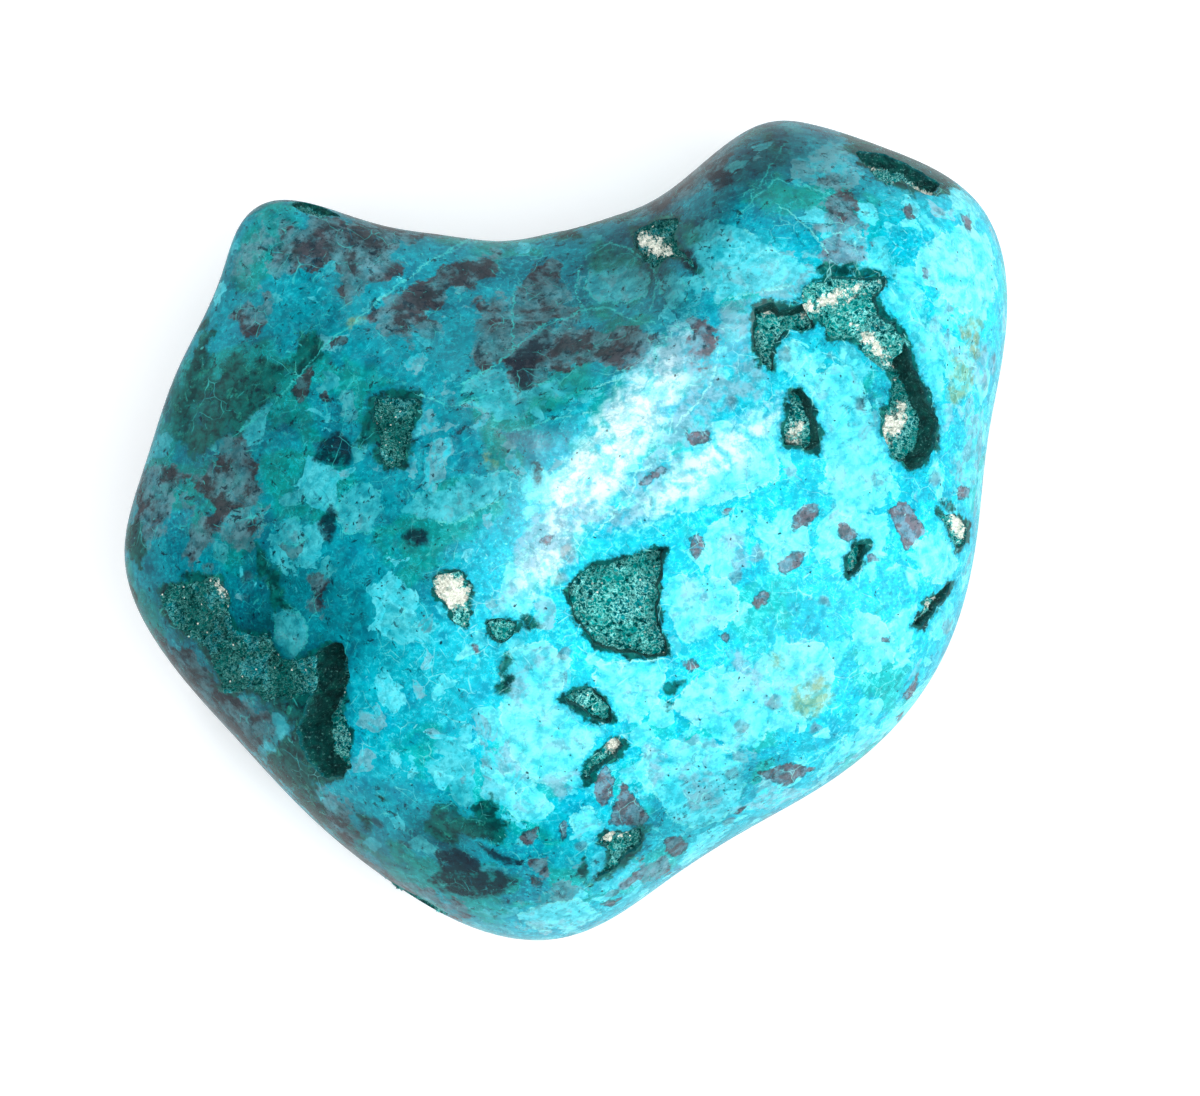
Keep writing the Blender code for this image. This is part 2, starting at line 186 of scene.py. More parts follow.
# How much of each hollow's depth its crust of crystals fills, and the length of a crystal.
CRUSTS = {
    "centre": (0.58, 0.42), "upper": (0.45, 0.4), "right": (0.4, 0.45), "cave": (0.38, 0.45),
    "corner": (0.45, 0.45), "arch": (0.45, 0.42), "wedge": (0.4, 0.42), "shelf": (0.8, 0.45),
    "bead": (0.8, 0.4), "bean": (0.4, 0.35), "crescent": (0.4, 0.35), "tail": (0.5, 0.35),
    "notch": (0.4, 0.35), "hook": (0.4, 0.35), "frost": (0.6, 0.35), "pocket": (0.5, 0.4),
    "patch": (0.55, 0.4), "brow": (0.6, 0.4),
    "front": (0.8, 0.45), "flank": (0.4, 0.45), "back": (0.4, 0.45), "end": (0.4, 0.4),
    "nape": (0.4, 0.4),
}

# How far a hollow's floor lies to one side of its rim.
LEAN = {"cave": (2.2, 0.3)}

# The hollows whose crusts are nodes of the frame too.
FRAME_CRUSTS = ("centre", "upper", "right", "cave", "corner")

# What each mineral covers on the upper side: the corners of its patches, as seen from above.
MALACHITE = (
    ((-6, 30.6), (0, 29.6), (6, 30.4), (8, 32.5), (2, 31.3), (-4, 31.8)), ((-26, 19.4), (-23.6, 18.2),
     (-27.6, 14.4), (-29.8, 11), (-36.6, 6.8), (-38.4, 9), (-39, 12), (-38.8, 13.2), (-37.6, 13.8),
     (-36.3, 20.4), (-35.2, 21.2), (-35, 16.6), (-34, 14.4), (-33.6, 16), (-32, 17), (-30, 16.2),
     (-26.8, 16.4)), ((-19.2, 11.4), (-18.6, 12.8), (-13.8, 13), (-15.8, 5.9), (-17.8, 6.2), (-18, 8.6),
     (-20.2, 8.4)), ((-39.8, -6.2), (-35.4, -4.6), (-33.6, -5), (-32.2, -10.6), (-29, -10.2),
     (-26.8, -13.4), (-22.4, -11), (-21.2, -13), (-21, -23.8), (-24.4, -24.8), (-23.6, -27), (-23.8, -30),
     (-26.8, -26), (-31, -22.6), (-26.4, -20.4), (-26.8, -18.4), (-29.4, -16), (-33.6, -15.6),
     (-36, -10.4), (-38.2, -11), (-37.4, -9.2), (-39.8, -8.4)), ((-30.4, -1.4), (-29.2, -1.6),
     (-26.6, -7.8), (-28.4, -7.8)), ((-43.8, 0.6), (-42.2, 0.6), (-41.4, -1), (-42, -3.4), (-43, -2.6)),
    ((-43.2, -6), (-42.4, -6), (-42.2, -8.8)), ((-19.9, -28), (-19, -27.8), (-18.4, -28.8),
     (-19.2, -29.8)), ((-19.4, -25.4), (-17.6, -26.2), (-18.6, -26.5)), ((-13.6, -28.6), (-12, -27),
     (-8.8, -27.8), (-8.4, -25.8), (-6.6, -25.4), (-5.6, -28.6), (-6.2, -29.8), (-10.8, -30.4),
     (-12.6, -30)), ((2.4, -34.8), (5.4, -30.6), (8.4, -28.8), (5.4, -33.4)), ((-1.2, 28.6), (0, 29.8),
     (1.2, 29.6), (1.4, 28.9)), ((8.6, 29.6), (10.8, 30.2), (11, 28), (13, 25), (11.6, 25.4)),
    ((27.2, 39.6), (35, 37.8), (38.6, 36), (38.6, 33.2), (36.4, 32.2), (32.5, 33), (28.4, 36.6)),
    ((36, 3), (37, 3.6), (37, 2), (36, 1.8)), ((10, -15.6), (10.6, -14.7), (11.4, -14.8), (10.6, -15.9)),
    ((9.6, -17.4), (10, -16.6), (10.3, -16.8), (9.9, -17.4)), ((-6.2, -12.6), (-5.6, -12.1),
     (-4.8, -12.6), (-5.2, -13.9), (-6.1, -13.6)), ((-4, -8.6), (-3.2, -8.4), (-2.8, -9.4), (-3.6, -9.8)),
    ((-5.8, -14.8), (-5.4, -14.6), (-5.5, -15.8), (-5.9, -15.6)), ((1.3, -33.4), (1.8, -32), (2, -33.8)),
    ((24.6, 24.8), (29.4, 25), (31.6, 24.6), (29.2, 24)),
)
SEA_GREEN = (
    ((0, 15.6), (1.8, 16), (2.7, 14.8), (2.2, 13), (0.2, 12.8), (-0.8, 14)), ((-3.2, 12.4), (-1.2, 13.2),
     (0.4, 12.2), (-0.6, 10.6), (-2.8, 10.8)), ((2.2, 20.4), (4, 21.4), (10.2, 19.4), (7, 19.4)),
    ((2.2, 26.6), (3.4, 27.8), (6, 27.4), (7.2, 26), (3, 25)), ((17.2, 31.6), (18.2, 33.4), (20.6, 34.4),
     (25.6, 32.6), (23.6, 30.4), (22, 31.6), (19.4, 30.6)), ((-17.2, -30.4), (-15, -30.8), (-14.4, -32.8),
     (-16.4, -32.6)), ((-8.8, -37.4), (-5.6, -37.4), (-6.2, -39.4), (-8.2, -39)), ((-13.2, -34.9),
     (-11.8, -34.2), (-9.4, -34), (-9, -34.6), (-12.6, -35.4)), ((10.8, 29.4), (12.6, 29.6), (13.4, 28),
     (12.6, 26.8), (11.4, 27.6)),
)
STAINED = (
    ((-29.9, 25), (-27.6, 29), (-25, 30.6), (-20, 31.4), (-15, 31), (-10.5, 29.6), (-12.5, 28.6),
     (-16.2, 28.6), (-17, 27), (-16.2, 25.2), (-17, 24), (-19.4, 23.8), (-21.4, 21.6), (-23.2, 25.6),
     (-26, 25.6), (-28.2, 24.6)), ((-33, 21.2), (-31.4, 22.4), (-30.4, 22.2), (-29.6, 24.4),
     (-28.6, 22.6), (-29.2, 20.6), (-31.2, 18.6)), ((-17.6, 22.4), (-11.2, 26.2), (-11.4, 27.2),
     (-6.4, 27.4), (-6.2, 26.4), (-7.4, 24.8), (-9, 23.6), (-11, 23.4), (-13.4, 21.2), (-12.4, 19.4),
     (-13.2, 18.4), (-14.6, 19.4), (-15.4, 17.8), (-18, 19.4), (-18.8, 21)), ((-8.8, 21.6), (-8.2, 22.8),
     (-6.8, 23.2), (-5.4, 22.2), (-2.8, 25.8), (-1, 26.4), (1.2, 21), (-1, 20.4), (-6, 16), (-9.4, 15.2)),
    ((-5.8, 16.2), (-2.6, 19.4), (-0.6, 20.2), (9, 18.8), (8, 16.4), (6, 15.6), (2, 16.6), (0, 14.6),
     (-1.4, 14.8), (-4, 13.4), (-5.4, 14.4)), ((-32, 9), (-29.8, 5.8), (-29.8, 2.4), (-33, 1.4),
     (-34.6, 2.2), (-36, 4.2), (-35.6, 6)), ((-32.8, -0.4), (-32.2, 0.8), (-30.8, 0.9), (-29.6, 0.2),
     (-31.6, -1.4), (-32.8, -1.2)), ((-42.8, 0), (-42, 5), (-40, 7), (-37.6, 5), (-38, 2.6), (-39.4, 1),
     (-40, -1.5), (-42, -1.5)), ((-37, -0.5), (-35.5, 1.6), (-33.6, 1), (-36.4, -3.6), (-37.4, -2.6)),
    ((-40.5, -10.5), (-38.4, -12.2), (-36.6, -12), (-33.6, -16), (-28.4, -18), (-28, -19.6), (-29, -21),
     (-31.2, -22.6), (-33.5, -20.6), (-39, -14.4)), ((-24.6, -25), (-22.6, -25.8), (-21, -27.8),
     (-20.4, -30.2), (-21, -32), (-23, -30.6)), ((-24.2, -5.2), (-23, -5.4), (-22.8, -7.4), (-23.4, -8.6),
     (-24.4, -7.8)), ((3.6, 30.4), (13, 36.4), (17, 37.4), (16, 34.6), (8, 31), (5, 30)), ((24.4, 30.4),
     (25.8, 32.4), (28.2, 31.8), (28.6, 29.4), (26.6, 28.6), (24.8, 29.2)), ((25, 34.4), (26.6, 34.8),
     (27.8, 33.8), (26.2, 32.8), (24.8, 33.4)), ((25.2, 27.4), (27.6, 27.9), (29.8, 27.4), (29.2, 25.9),
     (26.8, 25.6), (25.4, 25.6)), ((12.2, 20), (13, 19.8), (14.8, 17.2), (14.2, 15), (12.8, 15.8)),
    ((-3, -32.2), (-1.6, -31.4), (-1.2, -33.2), (-2.4, -34)), ((-14.6, -35.2), (-20.6, -32.2),
     (-19, -34.6), (-9, -38.8), (-10.4, -37)), ((5.6, -34.8), (7.4, -32.4), (9.4, -31.8), (10, -33.4),
     (7.6, -35.2)),
)
CHIPS = (
    ((-24.4, 16.2), (-25, 13), (-25.8, 12), (-26.6, 13.4), (-26.2, 14.6)), ((-23.2, 13.6), (-22.8, 12.4),
     (-23.6, 12.2), (-23.8, 13)), ((-23.2, 17.4), (-22.8, 18.6), (-21.6, 18.8), (-21, 18.2)), ((4, -22.8),
     (4.8, -24.2), (4.6, -25.8), (3.8, -26.9), (3, -26), (2.9, -24.4)), ((5.6, -24.3), (8.2, -28),
     (7.6, -28.9), (4.3, -28.6)), ((-2.5, -28.6), (-2.6, -30), (-3.4, -30.8), (-4.4, -29.8)),
    ((0.1, -27.8), (0.4, -29), (0, -30.2), (-0.5, -29.2)), ((9.8, -30.2), (11.2, -30), (12.2, -31),
     (11, -32.2), (9.8, -31.6)), ((3.6, -36.8), (5.6, -36.2), (4.6, -37.2)), ((18.6, -23.8),
     (21.6, -22.8), (24.4, -23.4), (21.6, -25.2)), ((16.6, -27.8), (17.8, -26.8), (17.2, -27.9)),
    ((20.5, -3.4), (21.6, -2.4), (23.2, -2.2), (22.6, -3.6), (21.4, -4.4), (20.6, -4.2)), ((22, 1),
     (23, 2.2), (24.4, 2.4), (24.2, 1), (22, -0.4)), ((18, -7.2), (18.6, -6.2), (19.8, -6), (19.4, -7.2),
     (18.6, -7.8)), ((31.2, 1.6), (32.4, 2.6), (33.4, 2.2), (35, -0.4), (33, -2.2)), ((26.2, 0.4),
     (27, 0.6), (28.2, -0.6), (27.4, -1.4), (26.4, -0.8)), ((33, -16.4), (34.6, -14), (34.4, -15.8),
     (33.6, -16.9)), ((12, -1), (13, -0.6), (13.4, -1.8), (12.6, -3.2), (12.1, -2.4)), ((11.2, -12.8),
     (12.2, -12.6), (13, -13.2), (12, -13.8)), ((15.2, -10.2), (15.7, -10), (15.6, -11), (15.1, -10.9)),
    ((29, -2.6), (29.9, -2.5), (30.2, -3.2), (29.2, -3.4)), ((11.6, 9), (13.8, 9.2), (14, 8.2),
     (12.2, 7.8)), ((8.4, 5.2), (9.4, 6), (9.8, 5.6), (9, 4.8)), ((7.2, 4.2), (8.2, 5.2), (8.8, 4.8),
     (7.8, 3.8)), ((1.2, 17.4), (2.6, 18), (3, 17.2), (1.8, 16.9)), ((32.8, 31), (33.4, 31.6), (34, 30.2),
     (33.2, 29.8)), ((38.8, 30.6), (39.8, 30.6), (39.8, 29.2), (39.2, 29.2)), ((34.6, 25.2), (35.2, 25),
     (35.4, 24.2), (34.8, 24)), ((-1.8, -0.6), (-1, -0.8), (-1.6, -1.8), (-2.2, -1.4)), ((-3.6, -33.6),
     (-2.6, -33.9), (-2.2, -34.6), (-3.2, -34.5)), ((-9, -11), (-8.2, -11.2), (-8, -12.2), (-8.6, -12)),
    ((30.6, -10.6), (31.6, -10.6), (31.4, -11), (30.7, -10.9)), ((38.2, 4), (39.6, 4), (39.6, 3),
     (38.4, 2.9)), ((15, 1.6), (16, 1.9), (15.8, 1.2), (15.2, 1.1)), ((32.4, -18.6), (33.4, -18),
     (32.8, -19.2)),
)
PALE = (
    ((10.2, -4.6), (15.6, -5), (16.6, -6.6), (16.4, -8.2), (13.6, -10.6), (11.4, -11), (9.4, -6.6)),
    ((3.4, -12.8), (9.8, -12.8), (8.8, -16.8), (7, -18.6), (5.4, -18.4), (3.2, -15)), ((10.4, -17.2),
     (12.6, -14.6), (15, -13.4), (19.6, -15.2), (20.4, -17.4), (18.6, -21.2), (16.4, -21.4)), ((8, -20.2),
     (14.6, -21.2), (16.6, -22.6), (17.6, -24.4), (16.8, -26.8), (15, -28.4), (12.6, -29), (10.6, -28.4),
     (8.2, -24.6)), ((20, -11.4), (24.8, -11.2), (26, -13), (25.2, -17.4), (23, -18.2), (21.2, -17.4),
     (19.6, -13.4)), ((27.8, -8), (30, -8.6), (31.8, -10.6), (31.8, -13), (30, -14), (28.2, -12.6)),
    ((33.8, -2), (35.4, -0.6), (37.4, -1.2), (38.2, -3.4), (37.6, -5.4), (35.8, -5.2), (34.2, -4)),
    ((22.6, 13.4), (25.8, 15.4), (27.4, 15.4), (28.6, 13.4), (31.4, 6.6), (31, 3.2), (29.4, 1.4),
     (27, 1.2), (25.2, 3.8), (25.4, 6.2)), ((24.6, -26), (26.4, -23.2), (31.6, -20.4), (29.4, -19.4),
     (27, -20.8), (25.4, -22.4)), ((7, 2.6), (10, 5.6), (18, 10.6), (20.6, 8.6), (20.4, 5), (17.6, 3.4),
     (12, 1.6), (9, 1.4)), ((12.4, 29), (14.4, 29.8), (17, 29), (23.4, 25), (22, 23.4), (15.6, 22.2),
     (13.8, 23.8), (12, 27.6)), ((21, 16.4), (21.6, 17.8), (22.6, 17.6), (23, 16.2), (22.2, 14.8),
     (21.2, 14.8)), ((23.8, 17.2), (24.8, 16.8), (24.8, 15.4), (23.8, 15.2)), ((36, 28), (39, 29.6),
     (41.4, 28.6), (42.4, 25), (41.6, 22), (38.6, 21), (34, 24.6), (34.4, 27)), ((33.2, 15), (34.4, 19),
     (36, 20.4), (37, 17), (36.4, 13.6), (35.4, 12.4)), ((-22, 1), (-21.4, 3.2), (-19.6, 4.4), (-18, 3.6),
     (-17.4, 2), (-19, -0.6), (-20.8, -0.4)), ((-11.6, 3.4), (-10, 4.6), (-5.4, 5.4), (-5.2, 3.4),
     (-10.4, 0.6), (-13.6, 0.8), (-15.6, 1.8), (-14.2, 3.2)), ((-4.8, -11.6), (-2, -11), (0.4, -12.6),
     (-0.4, -15.6), (1.6, -18.4), (3.6, -19.4), (0.4, -24), (-2.6, -24.6), (-4.8, -22), (-5.8, -19),
     (-5.8, -13)), ((-5.6, -23.6), (-2.8, -24.4), (-1.2, -27), (-2.4, -28.2), (-4.4, -28.2),
     (-5.6, -26.6)), ((0.8, -27.6), (2.2, -26.8), (3.8, -28.6), (2.8, -30.8), (1.2, -30.2)), ((-4.6, -38),
     (-2.2, -36.8), (1.4, -36.4), (3.4, -37.8), (1.2, -39.2), (-2.4, -39.4)), ((-8.6, 17), (-7.8, 18.4),
     (-5.8, 18.4), (-5.4, 17), (-6.8, 15.8)), ((-9.8, 13.4), (-8, 15.2), (-5.6, 15.2), (-4.4, 13.2),
     (0.2, 14.4), (2, 13.2), (-2.8, 12.2), (-4.2, 10.4), (-6.4, 10.4)), ((2.4, 25.6), (4.2, 27.2),
     (6.6, 26.4), (8.2, 24.8), (8, 22.8), (6, 22), (3.4, 22.2), (2.2, 23.6)), ((9.2, 24), (10.6, 24.6),
     (11.8, 23.4), (11.4, 21.4), (10, 21.4)), ((-28, 0.4), (-26, 1), (-25, -0.6), (-26, -1.6),
     (-27.8, -1.2)), ((-28.2, -8.4), (-26.8, -7.6), (-25, -9), (-24.8, -11), (-26.4, -12.8),
     (-27.8, -11.4)),
)
LAVENDER = (
    ((-5, -2.6), (-1, 3), (2.6, 1), (-6.2, -7.6)), ((3, 0.4), (6, 2), (9, 5), (14, 12), (13.4, 9),
     (7, 1.4), (4.4, -0.4)), ((4.6, 2), (14.4, 16.2), (15.6, 14.4), (17.2, 16.2), (19.4, 14.4),
     (19.8, 12.6), (14.6, 11.2), (9.8, 7), (7.6, 3.6)), ((-5, -13.6), (-1.2, -11.2), (-4, -15.6),
     (-5.2, -16)), ((8, -21), (9.6, -21.6), (9.4, -24.4), (8.6, -25.2), (8, -23.6)), ((5, 18.8),
     (12.6, 18.6), (13.6, 16.4), (12, 14.6), (6.4, 15.6)), ((34.4, 21.4), (36.4, 20.8), (37.8, 18.6),
     (37.2, 17), (34.2, 19.6)), ((39.6, 19), (41.6, 18.6), (42, 14), (40.4, 12.6), (39.6, 14.8)),
    ((-34.6, 24), (-31.5, 29), (-29.5, 30.4), (-27, 30.2), (-32, 25)), ((10.6, -6.2), (12.4, -5.8),
     (14, -6.4), (13.6, -7.4), (11, -7.2)), ((16, -12.2), (19.6, -14.4), (20.4, -17), (19.2, -17.4)),
    ((11, -24), (13, -23), (15, -24.8), (14.4, -27.6), (11.8, -27)), ((-1.8, -24.2), (0.6, -23.4),
     (1.2, -24), (-0.6, -25.6), (-1.6, -25.4)), ((15.4, -1.2), (17.2, -0.6), (17.4, -2.6), (16.4, -4.2),
     (15.6, -3)), ((15.2, 21.6), (17.6, 21.8), (18.2, 16.4), (15.4, 19)),
)
DEEP = (
    ((-6.2, 9.2), (0, 10.2), (1.6, 9.6), (-1, 8), (-1.6, 6.6), (-4, 7.2)), ((-4, 2), (-3.6, -0.6),
     (-6.6, -7), (-8.6, -7.6), (-8.8, -2.4), (-5.4, 1.6)), ((-4.2, -31), (-2, -30.4), (-1.4, -33.8),
     (-3, -36.4), (-6, -36.8), (-4.4, -34), (-6.8, -31.4)), ((28.8, -5), (30.6, -3.2), (33, -4.4),
     (34.6, -6.4), (33.6, -8.4), (31.2, -8.4), (29.4, -7.4)), ((26, -14.6), (26.8, -12.4), (28, -12.6),
     (28.2, -15), (29.8, -16.6), (27, -17), (26, -16.4)), ((17.4, -21.8), (22, -21), (22, -22.4),
     (19.4, -22.8), (18.4, -24), (18.6, -26.4), (17.4, -27)), ((12.4, 20), (13.4, 22), (14.6, 22.6),
     (15, 17.4), (14.4, 16.6)), ((14, 31), (18, 31), (21.6, 30), (24, 28.6), (25.6, 26.4)), ((0.4, 25.6),
     (1.4, 25.4), (1.8, 21.6), (0.8, 22), (0.3, 23.6)), ((-38.6, 2), (-36.8, 2), (-36.6, 0), (-37.4, -3),
     (-38.8, -5), (-39.4, -2)), ((10, -19.8), (16.4, -22.4), (11, -19.4)), ((30.4, 14.4), (31.4, 13.6),
     (31.2, 12), (30, 12.6), (29.6, 13.8)), ((36.6, 9), (38.2, 11.6), (38.8, 9), (36.4, 3.6),
     (35.6, 4.6)), ((32.4, 5.6), (34.6, 5), (36, 3), (34.4, 2.2)), ((16.4, -4.6), (18.4, -2), (19, -4),
     (17.4, -6)), ((22, -8.6), (24, -9.2), (24.6, -10), (22.8, -10.2)), ((-31.6, -4.4), (-30.2, -4),
     (-30.2, -9.8), (-31.8, -9.6), (-32.4, -8)), ((30.6, 29.8), (32.6, 30), (33.8, 28), (32.4, 26.8),
     (30.8, 27.4)),
)
NIGHT = (
    ((-12.6, -31.6), (-10.6, -31), (-8.6, -31.6), (-8, -33.2), (-6.4, -33), (-4.6, -34.2), (-6, -35.6),
     (-9, -36.2), (-12, -35.6), (-13.4, -34.4), (-12, -33.4)), ((-8.4, -30.4), (-4, -32.4), (-5.4, -32.6),
     (-7.4, -31.6)), ((-5.9, 16.2), (-1.6, 19.4), (-1.4, 17.6), (-2.6, 16.6), (-3.2, 13.4), (-4.2, 13.2)),
    ((-24.4, 6.4), (-23.6, 8.6), (-22, 9.4), (-20.8, 8.4), (-20.4, 6.6), (-21.2, 6)), ((-24, 0.4),
     (-22.6, 2.2), (-21.8, 1.4), (-22.6, -2)), ((-15.6, -0.8), (-14.6, 0.2), (-13, -0.2), (-13, -1.6),
     (-15, -1.8)), ((-3.4, 6.2), (-2.4, 6.6), (-2, 4), (-2.8, 3.8), (-2.8, 5)), ((11, 27), (12.2, 27.2),
     (13, 25.4), (12.4, 24.6), (11.4, 25.6)), ((13.6, 34.6), (15.6, 35.4), (16.8, 33.8), (15, 33)),
)
OCHRE = (
    ((21.8, -15), (26, -15), (25.6, -16.8), (23.6, -18.2), (22, -17.6)), ((37.4, 16.8), (39.8, 15.4),
     (39.6, 13.6), (38.6, 12.2), (37.4, 12.6)), ((39.2, 20), (40.6, 20), (40.8, 17.6), (39.8, 16.6),
     (39, 18)), ((20, -12.6), (21.4, -12.8), (21.4, -13.8), (20.2, -13.8)), ((-21, 20.4), (-20, 20.6),
     (-20.8, 19.6)), ((-7.8, 6.8), (-7, 7.2), (-7, 6.1), (-7.6, 5.8)),
)

# Where small dark specks crowd: middle, half length, half width and turn.
SPECKS = (
    (2.0, 6.0, 1.7, 1.1, 0), (13.6, 5.0, 1.7, 0.7, 80), (19.9, 4.6, 1.7, 0.7, 0),
    (35.6, 19.7, 1.8, 1.4, 0), (37.3, 23.4, 1.5, 1.2, 0), (38.5, 16.4, 2.6, 1.4, 60),
    (16.5, 26.7, 2.8, 1.7, 0), (19.0, -16.2, 2.1, 1.5, 0), (17.0, -13.6, 1.3, 1.2, 0),
    (16.0, -19.2, 0.7, 0.3, 0), (13.9, -24.2, 3.2, 2.5, 0), (23.1, -19.1, 1.3, 0.8, 0),
    (-4.3, -24.5, 1.8, 1.2, 0), (0.1, -24.7, 1.3, 0.6, 0), (13.4, -6.1, 1.3, 0.7, 0),
    (-13.6, -25.0, 1.6, 1.5, 0), (-14.8, -13.1, 0.6, 0.5, 0), (29.0, -17.8, 1.5, 1.0, 0),
    (13.9, -24.2, 2.0, 1.9, 0), (-21.1, 0.7, 2.7, 1.9, 0), (-1.6, 17.4, 3.9, 2.2, 20),
    (-8.2, 14.0, 2.2, 1.7, 0), (16.3, 37.1, 3.3, 1.4, 10), (-20.1, 27.8, 3.4, 2.2, 0),
    (-12.4, -25.3, 2.3, 1.3, 0),
)

# Bands of white along the crest, which are a painted highlight: middle, half length, half width and turn.
HIGHLIGHT_BANDS = (
    (5.0, 8.2, 12.5, 2.7, 56), (14.5, 6.6, 8.0, 1.6, 37), (-1.5, -3.0, 4.0, 1.6, 50),
)

# Pale quartz among the crystals in the hollows: middle, half length, half width and turn.
QUARTZ = (
    (-10.9, -6.2, 1.9, 1.6, -40), (4.6, -20.9, 0.6, 0.5, 0), (22.0, 9.0, 1.1, 0.5, 60),
    (31.9, 10.2, 1.6, 0.8, 60), (25.6, 21.9, 2.6, 0.5, 20), (29.8, 17.4, 1.4, 0.4, -50),
    (29.6, 36.2, 1.2, 0.5, -20), (34.9, 33.0, 1.2, 0.3, -20), (38.4, 0.2, 1.4, 0.7, -50),
    (36.2, -6.6, 0.9, 0.3, 45), (8.6, 27.8, 1.8, 0.7, -35), (20.2, 21.4, 1.6, 0.35, 15),
    (-33.6, -5.4, 0.8, 0.15, -60), (4.4, -29.8, 1.0, 0.3, 30), (-7.4, -28.8, 0.7, 0.4, 0),
)

# Pale veins, as lines through these points.
VEINS = (
    ((-31.9, 9.4), (-29.0, 11.6), (-26.6, 14.2), (-23.7, 17.6), (-20.3, 20.3), (-16.7, 23.5),
     (-13.0, 26.4), (-9.4, 29.0)), ((-13.8, 12.8), (-10.6, 11.6), (-7.2, 13.0)), ((-10.1, 13.8),
     (-7.0, 15.5), (-5.3, 16.9), (-3.8, 18.4), (-2.1, 19.8), (0.1, 20.4), (2.0, 21.3), (4.4, 21.3),
     (6.8, 20.1), (9.3, 19.7), (11.9, 19.1)), ((-5.0, 22.7), (-5.2, 20.3), (-5.0, 17.4)), ((-6.7, 9.6),
     (-4.3, 9.3), (-1.2, 10.4), (2.5, 11.1)), ((2.0, 21.2), (1.1, 23.2), (1.4, 25.6), (2.5, 27.3),
     (4.4, 28.2), (6.6, 27.2), (8.3, 25.9), (9.0, 23.7), (8.3, 21.3)), ((8.8, 15.5), (8.9, 17.2),
     (9.9, 18.2)), ((14.8, 16.4), (14.1, 14.0), (12.7, 11.8), (11.0, 10.4), (10.5, 8.2), (10.0, 6.5)),
    ((10.2, 10.4), (8.1, 8.4), (6.8, 6.7)), ((9.3, 6.3), (6.8, 5.3), (6.4, 3.3), (4.4, 1.2)),
    ((3.0, 13.5), (4.9, 14.0), (6.6, 15.5)), ((-11.8, 26.9), (-9.9, 28.3), (-5.3, 28.8)), ((17.0, 30.5),
     (18.9, 32.4), (20.5, 33.8), (22.4, 33.4), (24.1, 32.9), (25.7, 32.4)), ((21.0, 31.0), (22.9, 29.6),
     (24.1, 28.2), (25.7, 26.0)), ((25.2, 28.2), (27.4, 28.6), (28.8, 28.0)), ((17.5, 32.4), (19.3, 33.6),
     (20.3, 35.7), (21.2, 37.1)), ((3.0, -0.5), (4.4, 0.7), (6.1, 2.2)), ((8.1, -21.3), (7.8, -23.7),
     (8.8, -25.7)), ((3.0, -14.5), (3.2, -13.1), (9.7, -12.6)),
)

# Spots where the stone is deeper or paler, partly its own colour and partly painted shade and painted
# light,
# with a painted highlight along the crest: middle, half length, half width, turn and amount.
PALLOR_AND_SHADE_SPOTS = (
    (-28.0, -13.0, 9.0, 8.0, -40, -0.3), (-33.0, 10.0, 8.0, 7.0, 0, -0.2),
    (-6.0, 19.0, 9.0, 5.0, -20, -0.1), (-11.0, -31.5, 12.0, 6.0, -20, -0.65),
    (8.0, -29.5, 9.0, 4.0, 20, -0.4), (26.0, 35.0, 13.0, 7.0, -15, -0.45),
    (7.0, 27.0, 9.0, 6.0, 10, -0.3), (-14.0, -17.0, 7.0, 9.0, 0, -0.15), (41.0, 25.0, 5.0, 9.0, 10, 0.25),
    (30.5, 13.5, 7.0, 7.0, 0, -0.35), (12.0, 20.0, 8.0, 4.0, 30, -0.25),
    (18.0, -24.0, 14.0, 5.0, 30, -0.2), (4.0, 6.5, 15.0, 3.2, 54, 0.3),
    (-22.0, -32.0, 9.0, 3.5, -48, -0.35), (-1.0, -2.0, 6.0, 4.0, 50, 0.2),
)

SHADE_EDGE = (11.0, 2.0)  # how far behind the crest the painted shade of the facet turned from the light ends and the painted light of the dome begins

# How many patches of each mineral are strewn over the sides and the underside, and their half lengths.
STREWN = {
    "malachite": (16, 1.5, 6.0), "sea": (8, 1.5, 4.0), "stained": (18, 1.5, 7.0), "chips": (40, 0.6, 2.2),
    "pale": (34, 2.0, 6.5), "lavender": (12, 1.5, 5.0), "deep": (22, 1.5, 6.0), "night": (14, 0.8, 2.6),
    "ochre": (7, 0.8, 2.6), "specks": (16, 1.5, 5.0), "white": (5, 1.5, 5.0),
}

OUTLINED = {
    "malachite": MALACHITE, "sea": SEA_GREEN, "stained": STAINED, "chips": CHIPS, "pale": PALE,
    "lavender": LAVENDER, "deep": DEEP, "night": NIGHT, "ochre": OCHRE,
}

# The fields of the minerals.
FAR = 20.0  # further than any mineral's edge wanders
REACH = 4.0  # how far round an outline its field is worked out
BELT_FADE = 1.5  # how fast the upper side's patches end below the belt, and the strewn ones over it
SHADED_FACET_PALLOR = 0.35  # how deep the facet turned from the light is, as painted shade
LIT_DOME_RISE = 0.52  # how much paler the dome facing the light is, as painted light
TONE_FADE = 0.022  # how fast the stone's colour darkens below the belt

# The fineness of the stone's mesh.
STONE_SUBDIVISIONS = 7
FINE_FROM = 0.3  # the sphere's height above which the stone's faces are split once more
RISE_TO_SPAN = 0.55  # about how high the stone rises over its belt, for half its width
BELT_MARGIN = 0.9995  # how near to the belt a surface point is looked up
SHARP_ANGLE = 35.0  # an edge of the polished skin that bends more than this, in degrees, stays sharp

